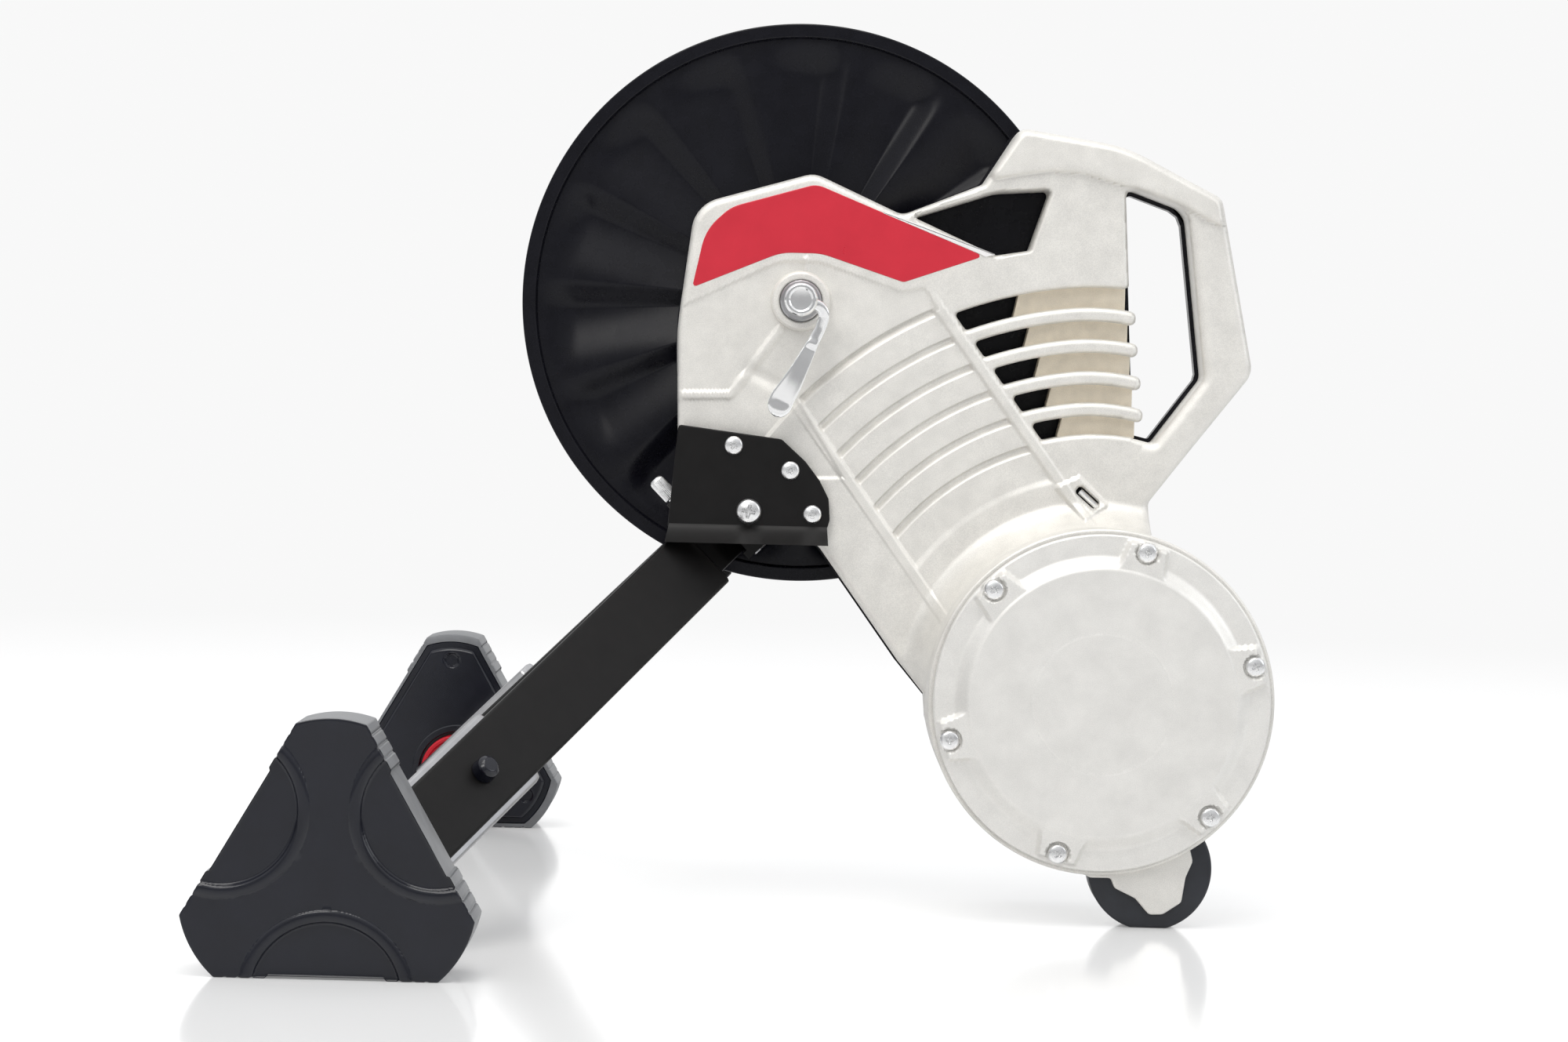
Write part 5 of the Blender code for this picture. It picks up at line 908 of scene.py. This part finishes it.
def skirt():
    """Sheet that leaves the plate's lower edge and curves out to the viewer, with a rounded hem."""
    turn = np.linspace(0.0, 1.0, 14)
    z = SKIRT_TOP - SKIRT_DROP * turn
    out = 13.0 * turn ** 1.35
    slope = np.stack([-np.gradient(z), -np.gradient(out)], axis=1)
    slope /= np.linalg.norm(slope, axis=1, keepdims=True)
    front = np.stack([PLATE_FRONT - out, z], axis=1)
    back = front + 3.0 * slope
    hem = front[-1] + (back[-1] - front[-1]) * 0.5
    line = np.concatenate([front, [[hem[0] - 0.4, max(hem[1] - 0.3, SKIRT_LOW)]], back[::-1]])
    line[:, 1] = np.maximum(line[:, 1], SKIRT_LOW)
    flare = np.clip((line[:, 1] - SKIRT_TOP) / -SKIRT_DROP, 0.0, 1.0)
    first_x, last_x = -78.6 - 2.2 * flare, 19.9 + 0.9 * flare
    x = first_x + (last_x - first_x) * np.linspace(0.0, 1.0, 40)[:, None]
    return capped(np.stack([x, *np.broadcast_arrays(line[:, 0] + 0.0 * x, line[:, 1])], axis=-1))


form("bracket_skirt", skirt(), "frame", ["bracket_plate"], PAINT)

# %% [markdown]
# ## Quick release
# The head is turned and polished. The lever is lofted: rounded sections follow a bent path, grow into the
# paddle and close at its round end.

# %% Quick release head, lever and springs
lathe("release_head", rounded_profile([
    (0.0, -93.6, 0), (6.6, -93.6, 0.3), (7.4, -95.0, 0.4), (9.2, -95.0, 0.6), (10.3, -93.6, 0.6),
    (10.3, -77.0, 0.6), (9.0, -74.0, 0.5), (0.0, -74.0, 0)]), "skewer", ["qr_cam_head"], CHROME)


def smoothed(values, times):
    """The same values with each one but the ends drawn to its neighbours, a number of times."""
    for _ in range(times):
        values[1:-1] = 0.25 * values[:-2] + 0.5 * values[1:-1] + 0.25 * values[2:]
    return values


def lever():
    """Rounded sections along a bent path: half is their half width across it and thick that along y."""
    path = np.array([(4.0, -1.2), (10.2, -2.9), (13.6, -5.6), (14.9, -9.5), (12.6, -17.0), (7.6, -27.1),
                     (1.0, -41.0), (-5.0, -53.0), (-10.2, -61.6), (-14.0, -72.6)])
    half = [3.2, 3.6, 3.6, 3.4, 3.4, 3.8, 5.2, 6.8, 7.6, 7.6]
    thick = [3.4, 3.4, 3.0, 2.6, 2.3, 2.2, 2.1, 2.1, 2.1, 1.9]
    lengths = np.concatenate([[0.0], np.cumsum(np.hypot(*np.diff(path, axis=0).T))])
    total = lengths[-1]
    marks = np.linspace(0.0, total, 90)
    middle = smoothed(np.stack([np.interp(marks, lengths, column) for column in path.T], axis=1), 6)
    wide = smoothed(np.interp(marks, lengths, half), 3)
    deep = np.interp(marks, lengths, thick)
    along = np.gradient(middle, axis=0)
    along /= np.linalg.norm(along, axis=1, keepdims=True)
    end, start = np.clip((total - marks) / 8.6, 0.0, 1.0), np.clip(marks / 3.0, 0.0, 1.0)
    wide = wide * np.sqrt(np.maximum(1.0 - (1.0 - end) ** 2, 0.0))
    close = np.sqrt(np.maximum(1.0 - (1.0 - start) ** 2, 0.0))
    wide, deep = wide * close, deep * close * np.clip(0.35 + wide / 6.0, 0.0, 1.0)
    cos, sin = np.cos(full_turn(36)), np.sin(full_turn(36))
    across, depth = np.sign(cos) * np.abs(cos) ** 0.6, np.sign(sin) * np.abs(sin) ** 0.45
    x = middle[:, :1] - along[:, 1:] * wide[:, None] * across
    z = middle[:, 1:] + along[:, :1] * wide[:, None] * across
    paddle = ease((marks - 33.0) / 5.0) * ease((total - 3.0 - marks) / 9.0)
    dish = 0.8 * paddle[:, None] * (1.0 - np.abs(across) ** 4) * (depth < 0.0)
    bow = 1.3 * np.sin(math.pi * np.clip((marks - 30.0) / (total - 30.0), 0.0, 1.0))
    y = -84.0 + deep[:, None] * depth + dish - bow[:, None]
    return capped(np.stack([x, y, z], axis=-1))


form("release_lever_arm", lever(), "release_lever", ["quick_release_lever"], CHROME)


def tube(path, radius, around):
    """Round tube along a path of points, with its section kept square to the path."""
    along = np.gradient(path, axis=0)
    along /= np.linalg.norm(along, axis=1, keepdims=True)
    helper = np.where(np.abs(along[:, 1:2]) < 0.9, [[0.0, 1.0, 0.0]], [[1.0, 0.0, 0.0]])
    one = np.cross(along, helper)
    one /= np.linalg.norm(one, axis=1, keepdims=True)
    two = np.cross(along, one)
    turn = full_turn(around)[None, :, None]
    return capped(path[:, None] + radius * (np.cos(turn) * one[:, None] + np.sin(turn) * two[:, None]))


for side, suffix in SIDES:
    share = np.linspace(0.0, 1.0, 150)
    turn, radius = 2.0 * math.pi * 3.0 * share, 4.4 + 3.2 * share
    coil = np.stack([radius * np.cos(turn), side * (65.8 + 6.3 * share), radius * np.sin(turn)], axis=1)
    form("release_spring_" + suffix, tube(coil, 0.62, 10), "skewer", ["skewer_spring_" + suffix], ZINC)

# %% [markdown]
# ## Legs
# Each leg is a flat steel tube that runs from its hinge down and out to its foot. It is a rounded section
# carried along a straight line, cut at the foot by an upright plane. A sleeve stands proud of both narrow
# edges over about its last two fifths.

# %% Legs
HINGE = np.array([HINGE_X, 0.0, HINGE_Z])
HINGE_Y, LEG_END_Y, SPLAY = 20.5, 352.7, math.radians(48.229)
DOWN = np.array([-SLANT, 0.0, -SLANT])
SIDEWAYS = np.array([-SLANT, 0.0, SLANT])


def leg_axes(side):
    """Start, direction and face direction of a leg; its width runs along SIDEWAYS."""
    start = HINGE + np.array([0.0, side * HINGE_Y, 0.0])
    run = DOWN * math.cos(SPLAY) + np.array([0.0, side * math.sin(SPLAY), 0.0])
    face = DOWN * -math.sin(SPLAY) + np.array([0.0, side * math.cos(SPLAY), 0.0])
    return start, run, face


def rounded_section(half_wide, half_thick, radius):
    """Closed line round a rectangle with round corners."""
    turn = np.linspace(0.0, 0.5 * math.pi, 5)
    parts = []
    for k, (sx, sy) in enumerate([(1, 1), (-1, 1), (-1, -1), (1, -1)]):
        angle = turn + 0.5 * math.pi * k
        parts.append(np.stack([sx * (half_wide - radius) + radius * np.cos(angle),
                               sy * (half_thick - radius) + radius * np.sin(angle)], axis=1))
    return np.concatenate(parts)


def leg_part(side, stations, sections):
    """Sections at stations along the leg, and the last one again, cut by the upright plane at the foot."""
    start, run, face = leg_axes(side)
    rings = []
    for station, section in zip([*stations, None], [*sections, sections[-1]]):
        base = start + SIDEWAYS * section[:, :1] + face * section[:, 1:]
        reach = (side * LEG_END_Y - base[:, 1]) / run[1]
        if station is not None:
            reach = np.full(len(base), station)
        rings.append(base + run * reach[:, None])
    return capped(np.stack(rings))


knuckle, inner, outer = [rounded_section(*size) for size in (
    (15.0, 6.8, 1.2), (21.6, 6.6, 1.6), (22.5, 7.5, 2.2))]
sleeve = [rounded_section(half_wide, 6.0, 2.0) for half_wide in (22.6, 25.6, 26.3)]
for side, suffix in SIDES:
    for name, stations, sections, made in (
            ("leg_tube_", (-6.6, 46.2, 46.9, 48.0, 80.0, 240.0),
             [knuckle, knuckle, inner, outer, outer, outer], PAINT),
            ("leg_sleeve_", (273.6, 275.0, 278.0), sleeve, STEEL)):
        form(name + suffix, leg_part(side, stations, sections), "leg_" + suffix, ["leg_" + suffix], made)

# %% [markdown]
# ## Feet
# A foot has three flats round an off-centre pivot, so turning it sets the trainer's height. Its outer face
# is a glossy moulding with a raised three-armed middle and three sunk lenses, a rubber band with saw teeth
# goes round it, and a chamfered plate closes its inner side.

# %% Foot outlines
FOOT_X, FOOT_Z = -247.0, -323.0
PIVOT_X, PIVOT_Z = FOOT_X + 6.0, FOOT_Z - 15.0


def foot_line(flat, crown, crown_arc, steps=40):
    """Three flats round the centre, one of them down, joined by wide convex corners."""
    centre = crown - crown_arc
    offset = 2.0 * flat - centre
    root = math.sqrt(3.0)
    v = (root * offset - math.sqrt(max(0.0, 3.0 * offset ** 2 - 4.0 * (offset ** 2 - crown_arc ** 2)))) / 4.0
    half = math.asin(v / crown_arc)
    parts = []
    for k in range(3):
        angle = math.radians(90.0 + 120.0 * k)
        turn = np.linspace(angle - half, angle + half, steps)
        parts.append(np.stack([centre * math.cos(angle) + crown_arc * np.cos(turn),
                               centre * math.sin(angle) + crown_arc * np.sin(turn)], axis=1))
    return np.concatenate(parts)


def dense(line):
    """The same closed line with extra points, so that no side is longer than 0.6 mm."""
    stop = np.roll(line, -1, axis=0)
    counts = np.maximum(1, np.ceil(np.hypot(*(stop - line).T) / 0.6).astype(int))
    start = np.repeat(np.arange(len(line)), counts)
    share = np.concatenate([np.arange(count) / count for count in counts])[:, None]
    return line[start] * (1.0 - share) + stop[start] * share


def toothed_line():
    """The foot's outside: smooth crowns, four saw teeth on both sides of each and a recess between."""
    shape = foot_line(57.0, 84.0, 60.0)
    per = len(shape) // 3
    pitch = 29.0 / 4.0
    parts = []
    for corner in range(3):
        crown = shape[corner * per:(corner + 1) * per]
        start, stop = crown[-1], shape[((corner + 1) * per) % len(shape)]
        heading = (stop - start) / np.linalg.norm(stop - start)
        inward = -(start + stop) / np.linalg.norm(start + stop) * 1.3
        parts.append(crown)
        for tooth in range(4):
            end = start + heading * pitch * (tooth + 0.8)
            parts.append(np.array([end, end + inward + heading * 0.3]))
            if tooth < 3:
                parts.append((start + heading * pitch * (tooth + 1.0))[None])
        for tooth in reversed(range(4)):
            end = stop - heading * pitch * (tooth + 0.8)
            if tooth < 3:
                parts.append((stop - heading * pitch * (tooth + 1.0))[None])
            parts.append(np.array([end + inward - heading * 0.3, end]))
    return np.concatenate(parts)


def reach_of(line, turn):
    """Distance from the centre to a line round it, at each angle."""
    line = dense(line)
    angle = np.unwrap(np.arctan2(line[:, 1], line[:, 0]))
    radius = np.hypot(*line.T)
    order = np.argsort(angle)
    angle, radius = angle[order], radius[order]
    wrapped = (turn - angle[0]) % (2.0 * math.pi) + angle[0]
    angle = np.append(angle, angle[0] + 2.0 * math.pi)
    radius = np.append(radius, radius[0])
    return np.interp(wrapped, angle, radius)


# %% [markdown]
# ### The outer face of a foot
# The face is a height field in rings and spokes whose rings shrink with the foot's own outline. A lens is
# the part of a circle, centred outside a flat, that reaches over the foot; a raised band follows its edge.


# %% Foot bodies, bands and plates
FOOT_FACE = 420.0
PLATE_LEVEL = 364.5


def foot_relief(x, z):
    """Sinking of the outer face: three lenses, each with a raised band along its edge."""
    sink = np.full_like(x, 1.0)
    for k in range(3):
        angle = math.radians(30.0 + 120.0 * k)
        gap = np.hypot(x - 67.0 * math.cos(angle), z - 67.0 * math.sin(angle))
        sink += 1.5 * ease((42.0 - gap) / 2.2)
        sink -= np.sqrt(np.maximum(1.0 - ((gap - 44.3) / 3.4) ** 2, 0.0))
    return sink


def foot_body(side):
    """Outer face with the teeth's outline and a round edge, a flange over the band, and a plain core."""
    turn = full_turn(720)
    reach = reach_of(toothed_line(), turn) - 0.15
    inner = reach_of(foot_line(53.5, 78.2, 54.2), turn)
    soft = 1.3
    rings = [(reach * share, 0.0, 1.0) for share in (*np.linspace(0.0, 0.3, 5), *np.linspace(0.34, 0.95, 70))]
    rings += [(reach - soft * (1.0 - math.sin(bend)), soft * (1.0 - math.cos(bend)), math.cos(bend))
              for bend in np.linspace(0.0, 0.5 * math.pi, 7)]
    levels = [FOOT_FACE - fall - foot_relief(r * np.cos(turn), r * np.sin(turn)) * share
              for r, fall, share in rings]
    levels += [np.full(720, level) for level in (417.4, 417.0, 417.0, 368.3, 367.8, 367.8)]
    r = [ring[0] for ring in rings] + [reach, reach - 1.0, inner, inner, inner - 0.5, inner * 0.0]
    return revolve(np.stack(r), side * np.stack(levels), FOOT_X, FOOT_Z)


def foot_band(side):
    """Rubber band: a rounded section between the foot's core and its toothed outside."""
    turn = full_turn(1260)
    far = reach_of(toothed_line(), turn)
    near = reach_of(foot_line(53.8, 78.5, 54.5), turn)
    section = np.array([(0.0, 367.8), (0.75, 367.8), (0.93, 368.3), (1.0, 369.8), (1.0, 416.5), (0.9, 417.0),
                        (0.75, 417.0), (0.0, 417.0)])
    return revolve(near + (far - near) * section[:, :1], side * section[:, 1:], FOOT_X, FOOT_Z, closed=True)


def foot_plate(side):
    """Chamfered inner plate with a round opening, three sunk screw places and a raised ring."""
    turn = full_turn(540)
    reach = reach_of(foot_line(49.5, 74.2, 50.2) + np.array([FOOT_X - PIVOT_X, FOOT_Z - PIVOT_Z]), turn)
    hole, ring_out = 28.0, 34.5
    rings = [(hole, 367.5), (hole, 362.6), (hole + 0.6, 362.0), (32.2, 362.0), (33.0, 362.8),
             (33.0, PLATE_LEVEL), (ring_out, PLATE_LEVEL)]
    for share in np.linspace(0.02, 0.98, 70):
        r = ring_out + (reach - 2.2 - ring_out) * share
        x, z = r * np.cos(turn) + 6.0, r * np.sin(turn) - 15.0
        level = PLATE_LEVEL
        for k in range(3):
            angle = math.radians(90.0 + 120.0 * k)
            gap = np.hypot(x - 65.0 * math.cos(angle), z - 65.0 * math.sin(angle))
            level = level + 1.6 * ease((5.6 - gap) / 1.2)
        rings.append((r, level))
    rings += [(reach - inset, level) for inset, level in (
        (2.1, PLATE_LEVEL), (1.8, 364.6), (0.2, 366.4), (0.0, 366.8), (0.0, 367.5))]
    r, y = [np.stack([np.broadcast_to(value, turn.shape) for value in column]) for column in zip(*rings)]
    return revolve(r, side * y, PIVOT_X, PIVOT_Z, closed=True)


hub = rounded_profile([(0.0, 353.0, 0), (20.0, 353.0, 0.5), (21.0, 354.4, 0.5), (22.4, 354.4, 0.5),
                       (23.0, 353.0, 0.4), (25.2, 353.0, 0.6), (26.0, 354.2, 0.5), (26.0, 366.0, 0.5),
                       (8.0, 366.0, 0.3), (8.0, 406.0, 0), (5.0, 406.0, 0), (5.0, 408.5, 0),
                       (10.5, 408.5, 0), (10.5, 411.0, 0), (0.0, 411.0, 0)])
# The rubber band's light grey finish is a painted sheen from the overhead light, not a different rubber.
for side, suffix in SIDES:
    for name, maker, node, made, slot in (("foot_shell_", foot_body, "foot_body_", GLOSS, "gloss_black"),
                                          ("foot_band_", foot_band, "foot_rubber_", RUBBER_PAINTED_SHEEN, "rubber"),
                                          ("foot_inner_", foot_plate, "foot_plate_", GLOSS, "gloss_black")):
        form(name + suffix, maker(side), "foot_" + suffix, [node + suffix], made, sharp=35.0)
    lathe("foot_disc_" + suffix, hub * [1.0, side], "leg_" + suffix, ["foot_hub_" + suffix], RED_METAL,
          PIVOT_X, PIVOT_Z)

# %% [markdown]
# ## Knobs
# A knurled screw clamps each leg, and a small round knob on each leg's upper face is pulled to free its
# foot. Both are turned; the knurl is a fine wave round the turned radius.


# %% Knobs
def along_axis(profile, start, axis, steps, ripple=0.0, waves=0, ripple_rows=()):
    """Profile of (r, distance) points turned about any line, with a fine wave on some of its rows."""
    helper = np.array([0.0, 1.0, 0.0]) if abs(axis[1]) < 0.9 else np.array([1.0, 0.0, 0.0])
    axis = axis / np.linalg.norm(axis)
    one = np.cross(axis, helper)
    one /= np.linalg.norm(one)
    two = np.cross(axis, one)
    turn = full_turn(steps)
    r, distance = np.asarray(profile, float).T
    r = spokes(r, steps)
    for row in ripple_rows:
        r[row] += ripple * np.cos(waves * turn)
    turn = turn[None, :, None]
    points = start + axis * distance[:, None, None] + r[..., None] * (np.cos(turn) * one + np.sin(turn) * two)
    return points.reshape(-1, 3), [grid_faces(len(r), steps)]


CLAMP_DOWN, LOCK_DOWN = 17.7, 306.0
clamp = [(0.0, 22.0), (3.0, 22.0), (3.0, 40.0), (4.2, 40.0), (4.7, 40.6), (4.7, 53.6), (4.2, 55.2),
         (3.4, 56.0), (0.0, 56.0)]
lock = rounded_profile([(0.0, 7.8, 0), (7.4, 7.8, 0.3), (7.2, 11.0, 0.6), (6.9, 15.2, 2.2), (4.4, 17.5, 1.6),
                        (0.0, 17.5, 0)])
for side, suffix in SIDES:
    spot = HINGE + DOWN * CLAMP_DOWN + np.array([0.0, side * (HINGE_Y + CLAMP_DOWN * math.tan(SPLAY)), 0.0])
    form("clamp_knob_" + suffix, along_axis(clamp, spot, SIDEWAYS, 168, 0.18, 28, (4, 5)),
         "leg_clamp_" + suffix, ["leg_clamp_knob_" + suffix], ZINC)
    start, run, face = leg_axes(side)
    form("lock_knob_" + suffix, along_axis(lock, start + run * LOCK_DOWN, face, 64),
         "foot_lock_" + suffix, ["foot_lock_knob_" + suffix], GLOSS)

# %% [markdown]
# ## Rear foot
# A round rubber foot under the resistance unit, flat where it stands, held by a cast prong.

# %% Rear foot and prong
REAR = np.array([224.5, -356.0])
REAR_CENTRE, REAR_R = np.array([222.7, -343.6]), 38.0
FLOOR_Z = -380.0
FAR_AWAY = 1e9


def rear_foot():
    """Disc whose reach is cut by the floor and by the housing, with rounded edges."""
    around = 720
    ray = np.stack([np.cos(full_turn(around)), np.sin(full_turn(around))], axis=1)

    def crossing(centre, radius):
        """Half the way along each ray between its two crossings of a circle, squared, and to their middle."""
        rel = REAR - centre
        along = ray @ rel
        return along ** 2 - rel @ rel + radius ** 2, -along

    square, middle = crossing(REAR_CENTRE, REAR_R)
    reach = middle + np.sqrt(np.maximum(square, 0.0))
    floor = np.full(around, FAR_AWAY)
    down = ray[:, 1] < -1e-3
    floor[down] = (FLOOR_Z - REAR[1]) / ray[down, 1]
    square, middle = crossing(UNIT, HOUSING_R + 0.4)
    hit = np.where(square > 0.0, middle - np.sqrt(np.maximum(square, 0.0)), FAR_AWAY)
    reach = np.minimum(np.minimum(reach, floor), np.where(hit > 0.0, hit, FAR_AWAY))
    levels = [(0.0, 0.0, -112.0), (0.5, 0.0, -112.0), (1.0, -1.8, -112.0), (1.0, -0.9, -111.7),
              (1.0, -0.25, -110.9), (1.0, 0.0, -109.8), (1.0, 0.0, -86.2), (1.0, -0.5, -84.9),
              (1.0, -1.8, -84.0), (0.5, 0.0, -84.0), (0.0, 0.0, -84.0)]
    return revolve(np.stack([reach * share + move for share, move, _ in levels]),
                   np.array([[y] for _, _, y in levels]), *REAR)


form("rear_foot_pad", rear_foot(), "frame", ["rear_foot"], RUBBER, sharp=40.0)
PRONG = [(172.5, -342.9, 3), (186.0, -349.5, 4), (198.5, -349.4, 2), (201.0, -355.5, 3), (213.8, -361.5, 3),
         (222.4, -371.3, 4), (231.0, -371.0, 4), (242.2, -363.4, 3), (244.5, -347.8, 4), (248.6, -338.0, 4),
         (246.5, -330.0, 2), (258.0, -319.5, 3), (240.0, -300.0, 0), (170.0, -300.0, 0)]
slab("rear_foot_prong", rounded(PRONG), -116.0, -109.0, "frame", ["main_casting"], CAST,
     edge=1.2, spacing=1.5)

# %% [markdown]
# ## Floor and wall
# A white, glossy floor that turns up in a wide curve into a white wall, 7.5 m behind the trainer so that it
# can be looked at from all sides. It shows soft reflections of the feet and holds the trainer's shadow. Far
# from the trainer, the camera and mirrors see an even white on it.


# %% Floor and wall
def stage_finish(name, roughness, glow_strength):
    """White paper: lit close to the trainer, and an even white far out for the camera and reflections."""
    made = bpy.data.materials.new(name)
    made.use_nodes = True
    tree = made.node_tree
    paper = tree.nodes["Principled BSDF"]
    wire(tree, paper, {"Base Color": (0.80, 0.80, 0.80, 1.0), "Roughness": roughness})
    ray = add_node(tree, "LightPath").outputs
    amount = add_node(tree, "Math", {1: glow_strength}, {0: ray["Is Camera Ray"]}, operation="MULTIPLY")
    glow = add_node(tree, "Emission", feeds={"Strength": amount.outputs["Value"]})
    near = add_node(tree, "AddShader", feeds={0: paper.outputs["BSDF"], 1: glow.outputs["Emission"]})
    far = add_node(tree, "Emission", {"Strength": 0.94})
    spot = add_node(tree, "TexCoord").outputs["Object"]
    away = add_node(tree, "VectorMath", feeds={0: spot}, operation="LENGTH").outputs["Value"]
    reach = add_node(tree, "MapRange", {"From Min": 1.1, "From Max": 3.4}, {"Value": away},
                     interpolation_type="SMOOTHSTEP").outputs["Result"]
    rays = add_node(tree, "Math", feeds={0: ray["Is Camera Ray"], 1: ray["Is Glossy Ray"]}).outputs["Value"]
    rays = add_node(tree, "Math", feeds={0: rays, 1: ray["Is Transmission Ray"]},
                    use_clamp=True).outputs["Value"]
    share = add_node(tree, "Math", feeds={0: rays, 1: reach}, operation="MULTIPLY").outputs["Value"]
    blend = add_node(tree, "MixShader", feeds={"Fac": share, 1: near.outputs["Shader"],
                                               2: far.outputs["Emission"]})
    wire(tree, tree.nodes["Material Output"], feeds={"Surface": blend.outputs["Shader"]})
    return made


CURVE_R, CURVE_Y, WALL_Y = 0.9, 6.6, 7.5
turn = np.linspace(0.0, 0.5 * math.pi, 13)
run = np.concatenate([[-12.0, 0.0, 6.5], CURVE_Y + CURVE_R * np.sin(turn), [WALL_Y]])
rise = np.concatenate([[0.0, 0.0, 0.0], CURVE_R * (1.0 - np.cos(turn)), [8.0]])
sheet = np.stack([spokes(run * 0.0, 2) + [-12.0, 12.0], spokes(run, 2), spokes(rise, 2)], axis=-1)
stage_mesh = make_mesh("studio_stage", sheet.reshape(-1, 3), [grid_faces(len(run), 2, closed_columns=False)])
if stage_mesh.polygons[0].normal.z < 0.0:
    stage_mesh.flip_normals()
stage_mesh.shade_smooth()
stage_mesh.materials.append(stage_finish("studio_white", 0.12, 0.20))
stage_sheet = bpy.data.objects.new("studio_stage", stage_mesh)
bpy.context.scene.collection.objects.link(stage_sheet)
